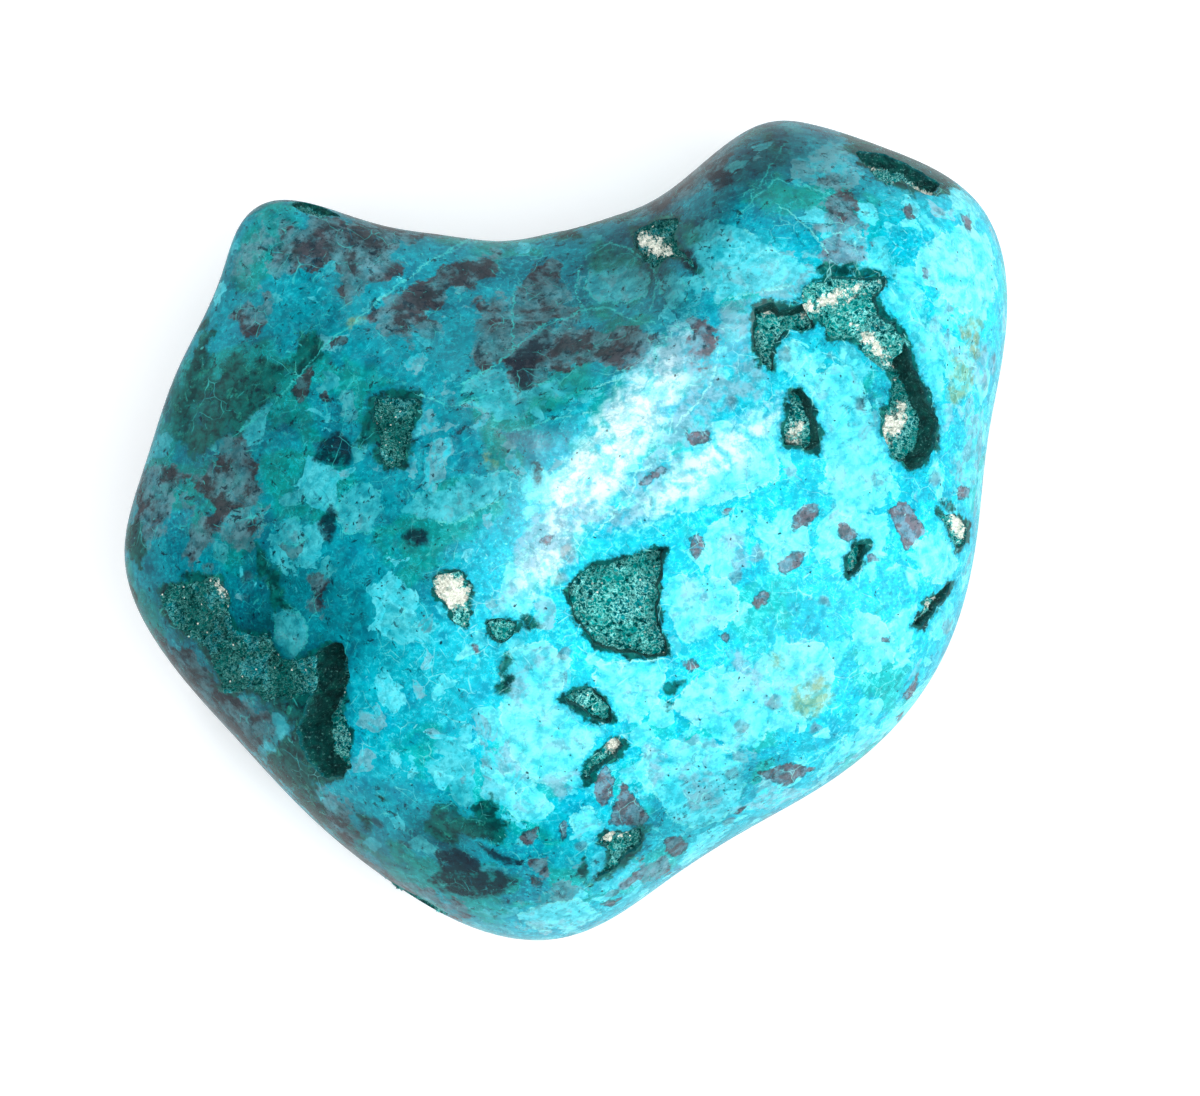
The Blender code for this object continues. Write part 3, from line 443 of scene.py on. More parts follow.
# The hollows' rims and walls, and the crusts in them.
CORNER_EASE = 0.2  # the share of each edge of an outline that is cut off at a corner
RIM_SPACING = 0.45  # between points on a hollow's ragged rim
RIM_NOISE = ((0.8, 0.45), (2.1, 0.22))  # scale and reach of what breaks up a rim
MITRE_LIMIT = 0.6  # keeps sharp corners from moving too far when an outline is drawn in
CUTTER_LIFT = 3.0  # how far a cutter stands out of the stone
CUTTER_FLARE = 0.3  # how much wider it is there
WALL_SHARES = (1.0, 0.75, 0.5, 0.25, 0.0)  # of the depth, where a wall has rings of points
WALL_ROUGHNESS = 0.3
CRUST_FOOT = 0.98  # the share of the depth at which a crust's underside lies
FLOOR_SPLITS = 5  # how often a crust's top is split at most
CRYSTAL_RISE = (-0.15, 0.75)  # the least and the most that a tip rises, for its crystal's length
CRYSTAL_SWAY = 0.18  # how far it leans at most, in the same way


def rgb(red, green, blue):
    """A colour on screen, from 0 to 255, as the linear colour that shaders take."""
    linear = []
    for value in (red, green, blue):
        value /= 255
        linear.append(value / 12.92 if value <= 0.04045 else ((value + 0.055) / 1.055) ** 2.4)
    return (*linear, 1.0)


# ---------------------------------------------------------------- form


def periodic_spline(knots, values, at):
    """A smooth closed curve through the values at the knots, in degrees, read at the angles asked for."""
    knots = np.asarray(knots, float)
    values = np.asarray(values, float)
    count = len(knots)
    steps = np.diff(knots, append=knots[0] + 360)
    rises = (np.roll(values, -1) - values) / steps
    system = np.zeros((count, count))
    for i in range(count):
        system[i, i - 1] = steps[i - 1]
        system[i, i] = 2 * (steps[i - 1] + steps[i])
        system[i, (i + 1) % count] = steps[i]
    bends = np.linalg.solve(system, 6 * (rises - np.roll(rises, 1)))
    at = (np.asarray(at, float) - knots[0]) % 360 + knots[0]
    i = np.clip(np.searchsorted(knots, at, side="right") - 1, 0, count - 1)
    after = (i + 1) % count
    step = steps[i]
    along = at - knots[i]
    left = step - along
    return (
        (bends[i] * left**3 + bends[after] * along**3) / (6 * step)
        + (values[i] / step - bends[i] * step / 6) * left
        + (values[after] / step - bends[after] * step / 6) * along
    )


def behind_crest(x, y):
    """How far a point lies behind the crest, seen from above: negative on the dome before it."""
    heading = math.radians(CREST_ANGLE)
    return (x - CREST_POINT[0]) * math.sin(heading) - (y - CREST_POINT[1]) * math.cos(heading)


def crest_rise(x, y):
    """Height of the stone over its belt at a point seen from above, before the shoulder rounds it off."""
    behind = behind_crest(x, y)
    facet = CREST_RISE - FACET_SLOPE * behind
    dome = CREST_RISE + DOME_SLOPE * behind
    rise = (facet + dome - np.sqrt((facet - dome) ** 2 + CREST_WIDTH**2)) / 2
    (saddle_x, saddle_y), (length, width), depth = SADDLE
    return rise - depth * np.exp(-(((x - saddle_x) / length) ** 2) - ((y - saddle_y) / width) ** 2)


def grind_flat(z):
    """Cuts the underside off flat at zero, with a small rounding where it meets the sides."""
    eased = (z + BASE_ROUNDING) ** 2 / (4 * BASE_ROUNDING)
    return np.where(z > BASE_ROUNDING, z, np.where(z < -BASE_ROUNDING, 0.0, eased))


def belt_height(bearing, reach):
    """Height of the belt, and of the level that it fades to further in."""
    return BELT_HEIGHT + BELT_SWING * reach**2 * np.cos(2 * bearing + math.radians(BELT_TURN))


def outline_radius(bearing):
    """Distance from the middle to the widest outline at a bearing."""
    return periodic_spline(*zip(*OUTLINE), np.degrees(bearing))


def stone_surface(directions):
    """The polished surface, in millimetres, for unit directions from the middle of the belt."""
    directions = np.atleast_2d(directions)
    bearing = np.arctan2(directions[:, 1], directions[:, 0])
    level = np.clip(np.hypot(directions[:, 0], directions[:, 1]), 1e-9, 1.0)
    steepness = np.abs(directions[:, 2])
    reach = level**SHOULDER
    radius = reach * outline_radius(bearing)
    x = radius * np.cos(bearing)
    y = radius * np.sin(bearing)
    height = np.where(directions[:, 2] > 0, crest_rise(x, y), -KEEL_DROP)
    z = grind_flat(belt_height(bearing, reach) + height * steepness**SHOULDER)
    return np.stack([x, y, z], axis=1)


def directions_of(points):
    """The directions whose surface points lie at these points in millimetres, or over or under them."""
    bearing = np.arctan2(points[:, 1], points[:, 0])
    reach = np.clip(np.hypot(points[:, 0], points[:, 1]) / outline_radius(bearing), 0, BELT_MARGIN)
    level = reach ** (1 / SHOULDER)
    lift = np.sqrt(1 - level**2) * np.where(points[:, 2] > belt_height(bearing, reach), 1, -1)
    return np.stack([level * np.cos(bearing), level * np.sin(bearing), lift], axis=1)


def evened(directions):
    """Directions moved along their meridians, so that the stone's surface is sampled evenly."""
    polar = np.linspace(0, math.pi / 2, 600)
    across = np.sin(polar) ** SHOULDER
    up = RISE_TO_SPAN * np.cos(polar) ** SHOULDER
    length = np.concatenate([[0], np.cumsum(np.hypot(np.diff(across), np.diff(up)))])
    level = np.hypot(directions[:, 0], directions[:, 1])
    slant = np.arctan2(level, np.abs(directions[:, 2]))
    slant = np.interp(slant / (math.pi / 2), length / length[-1], polar)
    turn = np.sin(slant) / np.maximum(level, 1e-9)
    lift = np.cos(slant) * np.sign(directions[:, 2])
    return np.stack([directions[:, 0] * turn, directions[:, 1] * turn, lift], axis=1)


def seat(direction):
    """Point and outward normal of the surface in a direction, in millimetres."""
    step = 0.02
    across = direction.orthogonal().normalized()
    other = direction.cross(across)
    around = [direction, direction + across * step, direction - across * step]
    around += [direction + other * step, direction - other * step]
    points = [Vector(p) for p in stone_surface(np.array([d.normalized() for d in around]))]
    normal = (points[1] - points[2]).cross(points[3] - points[4]).normalized()
    return points[0], normal


def seat_over(x, y):
    """Point and normal of the upper side over (x, y)."""
    return seat(Vector(directions_of(np.array([(x, y, 2 * CREST_RISE)]))[0]))


def bearing_direction(bearing, latitude):
    """The unit direction at a bearing and a latitude, in degrees."""
    direction = Vector((1, 0, 0))
    direction.rotate(Euler((0, -math.radians(latitude), math.radians(bearing))))
    return direction


# ---------------------------------------------------------------- hollows

Hollow = namedtuple("Hollow", "name rim normal depth taper")


def top_hollow(outline):
    """Outline points of an upper hollow, on the plane that touches the stone at its middle."""
    middle = np.mean(outline, axis=0)
    point, normal = seat_over(*middle)
    slope_x = -normal.x / normal.z
    slope_y = -normal.y / normal.z
    points = []
    for x, y in outline:
        points.append(Vector((x, y, point.z + slope_x * (x - point.x) + slope_y * (y - point.y))))
    return points, normal


def side_hollow(bearing, latitude, half_length, half_breadth, turn, rng):
    """Outline points of a side hollow: a ragged oval on the plane that touches the stone there."""
    point, normal = seat(bearing_direction(bearing, latitude))
    along = Vector((0, 0, 1)).cross(normal).normalized()
    along.rotate(Quaternion(normal, math.radians(turn)))
    across = normal.cross(along)
    points = []
    for i in range(SIDE_OUTLINE_POINTS):
        angle = 2 * math.pi * i / SIDE_OUTLINE_POINTS
        reach = 1 + RAGGEDNESS * rng.uniform(-1, 1)
        lengthwise = along * (half_length * reach * math.cos(angle))
        sideways = across * (half_breadth * reach * math.sin(angle))
        points.append(point + lengthwise + sideways)
    return points, normal


def edges_round(points):
    """Each point with the next one, all the way round."""
    return zip(points, points[1:] + points[:1])


def ragged(points, normal):
    """The outline with its corners eased and its edges broken up, as a rim in brittle stone."""
    eased = []
    for start, end in edges_round(points):
        eased += [start.lerp(end, CORNER_EASE), start.lerp(end, 1 - CORNER_EASE)]
    rim = []
    for start, end in edges_round(eased):
        count = max(1, round((end - start).length / RIM_SPACING))
        rim += [start.lerp(end, i / count) for i in range(count)]
    broken = []
    for point in rim:
        push = Vector()
        for scale, reach in RIM_NOISE:
            push += noise.noise_vector(point * scale) * reach
        broken.append(point + push - normal * push.dot(normal))
    return broken


def drawn_in(points, normal, distance):
    """The outline moved inwards by a distance, each point along the bisector of its two edges."""
    count = len(points)
    moved = []
    for i, point in enumerate(points):
        before = (point - points[i - 2]).normalized()
        after = (points[(i + 2) % count] - point).normalized()
        inwards = normal.cross(before) + normal.cross(after)
        moved.append(point + inwards * (distance / max(inwards.length_squared / 2, MITRE_LIMIT)))
    return moved


def roughened(point, reach):
    """A point pushed by noise of about a millimetre's grain."""
    return point + noise.noise_vector(point * 1.1) * reach


def half_width(points):
    """About half the width of an outline, from its area and its length round."""
    area = Vector()
    length = 0
    for start, end in edges_round(points):
        area += (start - points[0]).cross(end - points[0]) / 2
        length += (end - start).length
    return 2 * area.length / length


def loft(rings):
    """A closed bmesh through rings of equally many points, from the lowest ring to the highest."""
    bm = bmesh.new()
    levels = [[bm.verts.new(p * MM) for p in points] for points in rings]
    count = len(rings[0])
    for lower, upper in zip(levels, levels[1:]):
        for i in range(count):
            bm.faces.new((lower[i], lower[(i + 1) % count], upper[(i + 1) % count], upper[i]))
    bm.faces.new(reversed(levels[0]))
    bm.faces.new(levels[-1])
    bm.normal_update()
    return bm


def wall_inset(hollow, share):
    """How far in from the rim a hollow's wall stands, at a share of its depth."""
    most = 0.4 * half_width(hollow.rim)
    return min(hollow.taper + 0.12 * hollow.depth, most) * share**2


def way_down(hollow, share):
    """The way from the rim to a share of the hollow's depth, with its lean to one side."""
    x, y = LEAN.get(hollow.name, (0, 0))
    return Vector((x, y, 0)) * share - hollow.normal * hollow.depth * share


def hollow_cutter(hollow, skin):
    """The solid that is taken out of the stone for one hollow."""
    rings = []
    for share in WALL_SHARES:
        ring = drawn_in(hollow.rim, hollow.normal, wall_inset(hollow, share))
        shift = way_down(hollow, share)
        rings.append([roughened(p + shift, WALL_ROUGHNESS * share) for p in ring])
    flared = drawn_in(hollow.rim, hollow.normal, -CUTTER_FLARE)
    rings.append([p + hollow.normal * CUTTER_LIFT for p in flared])
    return new_object(f"{hollow.name}_cutter", loft(rings), [skin, skin], index=1)


def crust_block(hollow, filled):
    """The crust before it has crystals: its underside, and its top at the share that it fills."""
    inset = wall_inset(hollow, 1 - filled)
    rings = []
    for share, gap in ((CRUST_FOOT, 0.3), (1 - filled, -0.15)):
        shift = way_down(hollow, share)
        rings.append([p + shift for p in drawn_in(hollow.rim, hollow.normal, inset + gap)])
    return loft(rings)


def faces_out(face, normal):
    """Whether a face looks out of the hollow."""
    return face.normal.dot(normal) > 0.9


def facing(bm, normal):
    """The faces that look out of the hollow."""
    bm.normal_update()
    return [face for face in bm.faces if faces_out(face, normal)]


def split_top(bm, normal, size):
    """Splits the crust's top into facets about as long as a crystal."""
    bmesh.ops.triangulate(bm, faces=facing(bm, normal))
    for _ in range(FLOOR_SPLITS):
        faces = set(facing(bm, normal))
        inner = [edge for edge in bm.edges if any(face in faces for face in edge.link_faces)]
        long = [edge for edge in inner if edge.calc_length() > size * MM]
        if not long:
            break
        bmesh.ops.subdivide_edges(bm, edges=long, cuts=1)
        bmesh.ops.triangulate(bm, faces=[face for face in facing(bm, normal) if len(face.verts) > 3])


def make_bumpy(bm, faces, normal):
    """Raises low bumps within the crust's top and leaves its rim where it is."""
    corners = {vertex for face in faces for vertex in face.verts}
    inner = {v for v in corners if all(faces_out(face, normal) for face in v.link_faces)}
    for vertex in bm.verts:
        if vertex in inner:
            place = vertex.co / MM
            swell = 0.5 * noise.noise(place * 0.45) + 0.25 * noise.noise(place * 1.6)
            jitter = noise.noise_vector(place * 5.0) * 0.12
            vertex.co += (normal * swell + jitter) * MM


def random_offset(rng):
    """A random vector within a cube."""
    return Vector((rng.uniform(-1, 1), rng.uniform(-1, 1), rng.uniform(-1, 1)))


def crystal_crust(hollow, skin, rng):
    """The crust on a hollow's floor: a bumpy layer whose facets each rise to a crystal."""
    filled, size = CRUSTS[hollow.name]
    normal = hollow.normal
    bm = crust_block(hollow, filled)
    split_top(bm, normal, size)
    faces = facing(bm, normal)
    make_bumpy(bm, faces, normal)
    for tip in bmesh.ops.poke(bm, faces=faces)["verts"]:
        sway = random_offset(rng) * CRYSTAL_SWAY
        tip.co += (normal * rng.uniform(*CRYSTAL_RISE) + sway) * size * MM
    return new_object(f"{hollow.name}_crystals", bm, [skin], index=0)


# ---------------------------------------------------------------- minerals


def oval_axes(points, x, y, turn):
    """Each point's place along and across an oval with its middle at (x, y), seen from above."""
    angle = math.radians(turn)
    along = (points[:, 0] - x) * math.cos(angle) + (points[:, 1] - y) * math.sin(angle)
    across = (points[:, 1] - y) * math.cos(angle) - (points[:, 0] - x) * math.sin(angle)
    return along, across


def patch_field(points, patches):
    """How deep each point lies inside the nearest of some oval patches, seen from above, in millimetres."""
    field = np.full(len(points), -FAR)
    for x, y, half_length, half_breadth, turn in patches:
        along, across = oval_axes(points, x, y, turn)
        inside = (1 - np.hypot(along / half_length, across / half_breadth)) * half_breadth
        field = np.maximum(field, inside)
    return field


def from_line(points, start, end):
    """Distance to a line from start to end, and the side of it, seen from above."""
    start = np.array(start)
    run = np.array(end) - start
    offset = points[:, :2] - start
    share = np.clip(offset @ run / (run @ run), 0, 1)
    near = offset - share[:, None] * run
    side = np.sign(offset[:, 0] * run[1] - offset[:, 1] * run[0])
    return np.hypot(near[:, 0], near[:, 1]), side


def pallor_and_shade_field(points):
    """How pale the stone is at each point, from 0 where it is deep teal to 1 where it is pale cyan: its own
    colour, with painted shade on the facet behind the crest, painted light on the dome before it and a
    painted highlight along the crest.
    """
    deep, pale = SHADE_EDGE
    share = np.clip((deep - behind_crest(points[:, 0], points[:, 1])) / (deep - pale), 0, 1)
    tone = SHADED_FACET_PALLOR + LIT_DOME_RISE * share * share * (3 - 2 * share)
    for x, y, half_length, half_breadth, turn, amount in PALLOR_AND_SHADE_SPOTS:
        along, across = oval_axes(points, x, y, turn)
        tone += amount * np.exp(-((along / half_length) ** 2) - (across / half_breadth) ** 2)
    return tone


def vein_distance(points, veins):
    """Distance from each point to the nearest vein, and the same with the side as its sign."""
    nearest = np.full(len(points), FAR)
    signed = np.full(len(points), FAR)
    for vein in veins:
        for start, end in zip(vein, vein[1:]):
            distance, side = from_line(points, start, end)
            closer = distance < nearest
            nearest = np.where(closer, distance, nearest)
            signed = np.where(closer, distance * side, signed)
    return nearest, signed


def depth_inside(points, outline):
    """How deep each point lies inside an outline, negative outside, seen from above."""
    edge = np.full(len(points), FAR)
    inside = np.zeros(len(points), bool)
    for start, end in edges_round(outline):
        edge = np.minimum(edge, from_line(points, start, end)[0])
        spans = (start[1] > points[:, 1]) != (end[1] > points[:, 1])
        rise = end[1] - start[1] if end[1] != start[1] else 1e-9
        crossing = start[0] + (points[:, 1] - start[1]) * (end[0] - start[0]) / rise
        inside ^= spans & (points[:, 0] < crossing)
    return np.where(inside, edge, -edge)


def outline_field(points, outlines):
    """How deep each point lies inside the nearest of some outlines, seen from above, in millimetres."""
    field = np.full(len(points), -FAR)
    for outline in outlines:
        low = np.min(outline, axis=0) - REACH
        high = np.max(outline, axis=0) + REACH
        near = np.flatnonzero(np.all((points[:, :2] > low) & (points[:, :2] < high), axis=1))
        field[near] = np.maximum(field[near], depth_inside(points[near], outline))
    return field


def strewn_field(points, count, smallest, largest, rng):
    """How deep each point lies inside patches strewn over the sides and the underside."""
    field = np.full(len(points), -FAR)
    for _ in range(count):
        bearing = rng.uniform(0, 360)
        latitude = -math.degrees(math.asin(rng.uniform(-0.25, 1)))
        middle, normal = seat(bearing_direction(bearing, latitude))
        along = random_offset(rng).cross(normal).normalized()
        across = normal.cross(along)
        half_length = rng.uniform(smallest, largest)
        half_breadth = half_length * rng.uniform(0.4, 0.9)
        offset = points - np.array(middle)
        axes = ((along, half_length), (across, half_breadth), (normal, half_breadth))
        scaled = np.stack([offset @ np.array(axis) / length for axis, length in axes], axis=1)
        field = np.maximum(field, (1 - np.linalg.norm(scaled, axis=1)) * half_breadth)
    return field


def over_belt(points):
    """Height of each point over the belt, negative below it."""
    bearing = np.arctan2(points[:, 1], points[:, 0])
    reach = np.clip(np.hypot(points[:, 0], points[:, 1]) / outline_radius(bearing), 0, 1)
    return points[:, 2] - belt_height(bearing, reach)


def sunk(points):
    """How far each point in a hollow lies under the polished surface."""
    return np.clip(stone_surface(directions_of(points))[:, 2] - points[:, 2], 0, 10)


def mineral_fields(points):
    """What the polished skin's shader needs at each point, by name. All but the pallor, which holds painted
    shade and light, are in millimetres.
    """
    rng = random.Random(SEED)
    height = over_belt(points)
    below = np.clip(-height, 0, 10) * BELT_FADE
    above = np.clip(height - 1, 0, 10) * BELT_FADE
    top = {name: outline_field(points, outlines) for name, outlines in OUTLINED.items()}
    # The white bands of the upper side are a painted highlight along the crest.
    top["white"] = patch_field(points, HIGHLIGHT_BANDS)
    top["specks"] = patch_field(points, SPECKS)
    fields = {}
    for name, (count, smallest, largest) in STREWN.items():
        strewn = strewn_field(points, count, smallest, largest, rng)
        fields[name] = np.maximum(top[name] - below, strewn - above)
    nearest, signed = vein_distance(points, VEINS)
    fields["vein"] = signed
    fields["vein_near"] = nearest + below
    rims = outline_field(points, [outline for outline, _, _ in HOLLOWS.values()])
    fields["hollow"] = np.where(height > -1, -rims, FAR)
    # Pallor: the stone's own colour, with painted shade on the facet turned from the light and painted
    # light on the dome.
    fields["tone"] = pallor_and_shade_field(points) - TONE_FADE * below
    return fields


def crust_fields(points):
    """What the crusts' and the walls' shaders need at each point: all but the stone's pallor and painted
    shade in millimetres.
    """
    return {"quartz": patch_field(points, QUARTZ), "depth": sunk(points), "stone_pallor_and_shade": pallor_and_shade_field(points)}


def store(obj, fields_of):
    """Stores fields on an object's vertices."""
    mesh = obj.data
    points = np.empty(len(mesh.vertices) * 3, np.float32)
    mesh.vertices.foreach_get("co", points)
    for name, values in fields_of(points.reshape(-1, 3).astype(float) / MM).items():
        attribute = mesh.attributes.new(name, "FLOAT", "POINT")
        attribute.data.foreach_set("value", values.astype(np.float32))


# ---------------------------------------------------------------- objects


def link(obj):
    """Puts an object in the scene."""
    bpy.context.scene.collection.objects.link(obj)
    return obj


def new_object(name, bm, skins, index):
    """Makes an object from a bmesh, with outward faces that take one of its materials."""
    bmesh.ops.recalc_face_normals(bm, faces=bm.faces)
    for face in bm.faces:
        face.material_index = index
    mesh = bpy.data.meshes.new(name)
    bm.to_mesh(mesh)
    bm.free()
    for skin in skins:
        mesh.materials.append(skin)
    return link(bpy.data.objects.new(name, mesh))


def fine_stone(skins):
    """The stone at a fine scale before its hollows are cut."""
    bm = bmesh.new()
    bmesh.ops.create_icosphere(bm, subdivisions=STONE_SUBDIVISIONS, radius=1.0)
    upper = [edge for edge in bm.edges if min(v.co.z for v in edge.verts) > FINE_FROM]
    bmesh.ops.subdivide_edges(bm, edges=upper, cuts=1, use_grid_fill=True)
    bmesh.ops.triangulate(bm, faces=[face for face in bm.faces if len(face.verts) > 3])
    directions = np.array([v.co.normalized() for v in bm.verts])
    for vertex, point in zip(bm.verts, stone_surface(evened(directions)) * MM):
        vertex.co = point
    return new_object("polished_stone", bm, skins, index=0)


def cut(stone, cutters):
    """Takes the cutters out of the stone and keeps the result as its mesh."""
    for cutter in cutters:
        modifier = stone.modifiers.new(cutter.name, "BOOLEAN")
        modifier.operation = "DIFFERENCE"
        modifier.solver = "MANIFOLD"
        modifier.object = cutter
    bpy.context.view_layer.update()
    evaluated = stone.evaluated_get(bpy.context.evaluated_depsgraph_get())
    mesh = bpy.data.meshes.new_from_object(evaluated)
    stone.modifiers.clear()
    stone.data = mesh
    for cutter in cutters:
        bpy.data.objects.remove(cutter)


def smooth_polish(stone):
    """Shades the polished skin smooth, up to the hollows' sharp rims."""
    stone.data.shade_smooth()
    stone.data.set_sharp_from_angle(angle=math.radians(SHARP_ANGLE))


# ---------------------------------------------------------------- shader helpers


def make_node(tree, kind, inputs=None, **settings):
    """Adds a node, with its settings and its inputs as values or as links."""
    made = tree.nodes.new(f"ShaderNode{kind}")
    for name, value in settings.items():
        setattr(made, name, value)
    for key, value in (inputs or {}).items():
        if isinstance(value, bpy.types.NodeSocket):
            tree.links.new(value, made.inputs[key])
        else:
            made.inputs[key].default_value = value
    return made


def calc(tree, operation, a, b=0.0):
    """The result of one sum."""
    return make_node(tree, "Math", {0: a, 1: b}, operation=operation).outputs[0]


def times(tree, a, b):
    """The product of two values."""
    return calc(tree, "MULTIPLY", a, b)


def plus(tree, a, b):
    """The sum of two values."""
    return calc(tree, "ADD", a, b)


def larger(tree, a, b):
    """The larger of two values."""
    return calc(tree, "MAXIMUM", a, b)


def off_centre(tree, value):
    """How far a noise value lies from its middle, either way."""
    return calc(tree, "ABSOLUTE", calc(tree, "SUBTRACT", value, 0.5))


def vector_calc(tree, operation, a, b):
    """The result of one sum of vectors. A number stands for a vector of equal parts."""
    return make_node(tree, "VectorMath", {0: a, 1: b}, operation=operation).outputs[0]


def field(tree, name):
    """A stored field."""
    return make_node(tree, "Attribute", attribute_name=name).outputs["Fac"]


def step(tree, value, low, high, least=0.0, most=1.0):
    """A smooth step from least to most as the value goes from low to high."""
    inputs = {"Value": value, "From Min": low, "From Max": high, "To Min": least, "To Max": most}
    return make_node(tree, "MapRange", inputs, interpolation_type="SMOOTHSTEP").outputs["Result"]


def paint(tree, factor, under, over, blend="MIX"):
    """One colour over another."""
    inputs = {0: factor, 6: under, 7: over}
    return make_node(tree, "Mix", inputs, data_type="RGBA", blend_type=blend).outputs[2]


def ramp(tree, value, colours):
    """A colour from evenly spaced ones, as the value goes from 0 to 1."""
    made = make_node(tree, "ValToRGB", {"Fac": value})
    stops = made.color_ramp.elements
    for i in range(1, len(colours) - 1):
        stops.new(i / (len(colours) - 1))
    for stop, colour in zip(stops, colours):
        stop.color = colour
    return made.outputs["Color"]


def noise_node(tree, place, scale, detail=4.0, roughness=0.55, distortion=0.0):
    """A noise node, whose scale is in cycles a millimetre."""
    inputs = {"Vector": place, "Scale": scale, "Detail": detail}
    inputs.update({"Roughness": roughness, "Distortion": distortion})
    return make_node(tree, "TexNoise", inputs)


def grain(tree, place, scale, *fineness):
    """Noise from 0 to 1."""
    return noise_node(tree, place, scale, *fineness).outputs["Fac"]


def wander(tree, place, scale, reach, detail=5.0, roughness=0.6):
    """Noise about zero, in millimetres, that breaks up a patch's edge."""
    value = grain(tree, place, scale, detail, roughness)
    return times(tree, calc(tree, "SUBTRACT", value, 0.5), reach)


def cells(tree, place, scale):
    """Random cells, whose scale is in cells a millimetre."""
    return make_node(tree, "TexVoronoi", {"Vector": place, "Scale": scale})


def seams(tree, place, scale):
    """Distance to the nearest edge between random cells."""
    inputs = {"Vector": place, "Scale": scale}
    return make_node(tree, "TexVoronoi", inputs, feature="DISTANCE_TO_EDGE").outputs["Distance"]


def lots(tree, block):
    """Three random numbers for each cell."""
    return make_node(tree, "SeparateColor", {0: block.outputs["Color"]}).outputs


def place_in_mm(tree):
    """Place on the object in millimetres."""
    place = make_node(tree, "TexCoord").outputs["Object"]
    return vector_calc(tree, "MULTIPLY", place, (1 / MM,) * 3)


def warped(tree, place, scale, reach):
    """The place pushed about by noise, so that what is drawn there swirls."""
    push = noise_node(tree, place, scale, 1.0).outputs["Color"]
    push = vector_calc(tree, "SUBTRACT", push, (0.5,) * 3)
    push = vector_calc(tree, "MULTIPLY", push, (reach,) * 3)
    return vector_calc(tree, "ADD", place, push)


def inside(tree, name, edge, softness):
    """Where a mineral is: its stored field, broken up at the edge."""
    return step(tree, plus(tree, field(tree, name), edge), -softness, softness)


def new_material(name):
    """A material with its tree and its Principled shader."""
    made = bpy.data.materials.new(name)
    made.use_nodes = True
    return made, made.node_tree, made.node_tree.nodes["Principled BSDF"]


def finish_material(tree, shader, colour, relief, strength, distance):
    """Gives the shader its colour and its relief."""
    tree.links.new(colour, shader.inputs["Base Color"])
    bump = make_node(tree, "Bump", {"Strength": strength, "Distance": distance, "Height": relief})
    tree.links.new(bump.outputs["Normal"], shader.inputs["Normal"])


# ---------------------------------------------------------------- colours

# Each palette goes from where the stone is deepest to where it is palest, which is partly its own colour
# and partly painted shade on the facet turned from the light and painted light on the dome.
TEAL = (rgb(0, 74, 84), rgb(0, 140, 158), rgb(0, 180, 200), rgb(4, 212, 236))
BLUE = (rgb(0, 60, 78), rgb(0, 108, 130), rgb(0, 156, 186), rgb(0, 184, 214))
SEA = (rgb(0, 84, 78), rgb(0, 140, 132), rgb(0, 172, 168), rgb(36, 208, 208))
FIBRE = (rgb(0, 122, 132), rgb(16, 186, 200), rgb(76, 222, 236), rgb(124, 242, 250))
MILK = (rgb(46, 142, 148), rgb(68, 188, 200), rgb(100, 222, 236), rgb(140, 242, 250))
# The painted highlight's white along the crest, and milky patches on the sides.
MILK_AND_HIGHLIGHT_WHITE = (rgb(110, 170, 176), rgb(150, 202, 208), rgb(192, 230, 240), rgb(216, 244, 248))
MILK_SHADE = (rgb(16, 118, 126), rgb(28, 160, 176), rgb(54, 208, 226), rgb(82, 230, 244))
HAZE = (rgb(60, 96, 104), rgb(86, 134, 144), rgb(108, 162, 178), rgb(128, 184, 204))
CLAST = (rgb(40, 72, 78), rgb(60, 100, 108), rgb(92, 130, 146), rgb(120, 156, 176))
CLAST_BROWN = (rgb(32, 34, 40), rgb(52, 48, 54), rgb(88, 78, 86), rgb(118, 102, 112))
VEIN = (rgb(20, 146, 142), rgb(60, 198, 196), rgb(130, 232, 230), rgb(170, 246, 246))

# Colours that are the same wherever they show.
SHADOW = rgb(80, 186, 194)
MALACHITE_BLACK = rgb(0, 56, 58)
MALACHITE_DEEP = rgb(0, 98, 94)
MALACHITE_GREEN = rgb(16, 136, 118)
OLIVE = rgb(126, 150, 92)
NAVY = rgb(2, 26, 42)
# White quartz, and the white of the painted glints on the crusts.
QUARTZ_AND_GLINT_WHITE = rgb(240, 244, 234)
QUARTZ_GREY = rgb(150, 188, 178)
# The crusts' green in the painted light; in the painted shade they take MALACHITE_DEEP.
CRYSTAL_LIT_GREEN = rgb(0, 160, 158)
# Painted glints on the crusts, and pale flecks on the hollows' walls.
CRYSTAL_TIP_AND_GLINT = rgb(156, 242, 236)
CRYSTAL_BLUE = rgb(0, 140, 152)


# ---------------------------------------------------------------- the polished skin


class Skin:
    """What the layers of the polished skin share: its tree, its pallor with painted shade and light, and
    its noises.
    """

    def __init__(self, tree):
        place = place_in_mm(tree)
        # Pallor with its painted shade and light, and noise over it.
        tone = plus(tree, field(tree, "tone"), wander(tree, place, 0.16, 0.7, 3.0))
        self.tree = tree
        self.place = place
        self.tone = plus(tree, tone, wander(tree, place, 0.7, 0.25, 4.0))
        self.edge = wander(tree, place, 0.35, 5.5, 5.0, 0.62)
        self.fine_edge = wander(tree, place, 1.1, 1.7, 4.0, 0.68)
        self.mottle = grain(tree, warped(tree, place, 0.7, 1.2), 0.8, 4.0, 0.63)
        self.blots = grain(tree, place, 0.9, 5.0, 0.65)
        self.fleck = grain(tree, place, 3.4, 3.0, 0.6)
        self.rust = grain(tree, warped(tree, place, 0.12, 5.0), 0.3, 6.0, 0.66)
        self.halo = plus(tree, field(tree, "hollow"), wander(tree, place, 0.6, 2.5, 4.0, 0.68))

    def shade(self, palette):
        """The palette's colour for the stone's pallor, painted shade and light included."""
        return ramp(self.tree, self.tone, palette)

    def mottled(self, name, softness, *mottling):
        """How much of a mineral shows: it has a rough edge and is mottled."""
        tree = self.tree
        return times(tree, inside(tree, name, self.edge, softness), step(tree, self.mottle, *mottling))


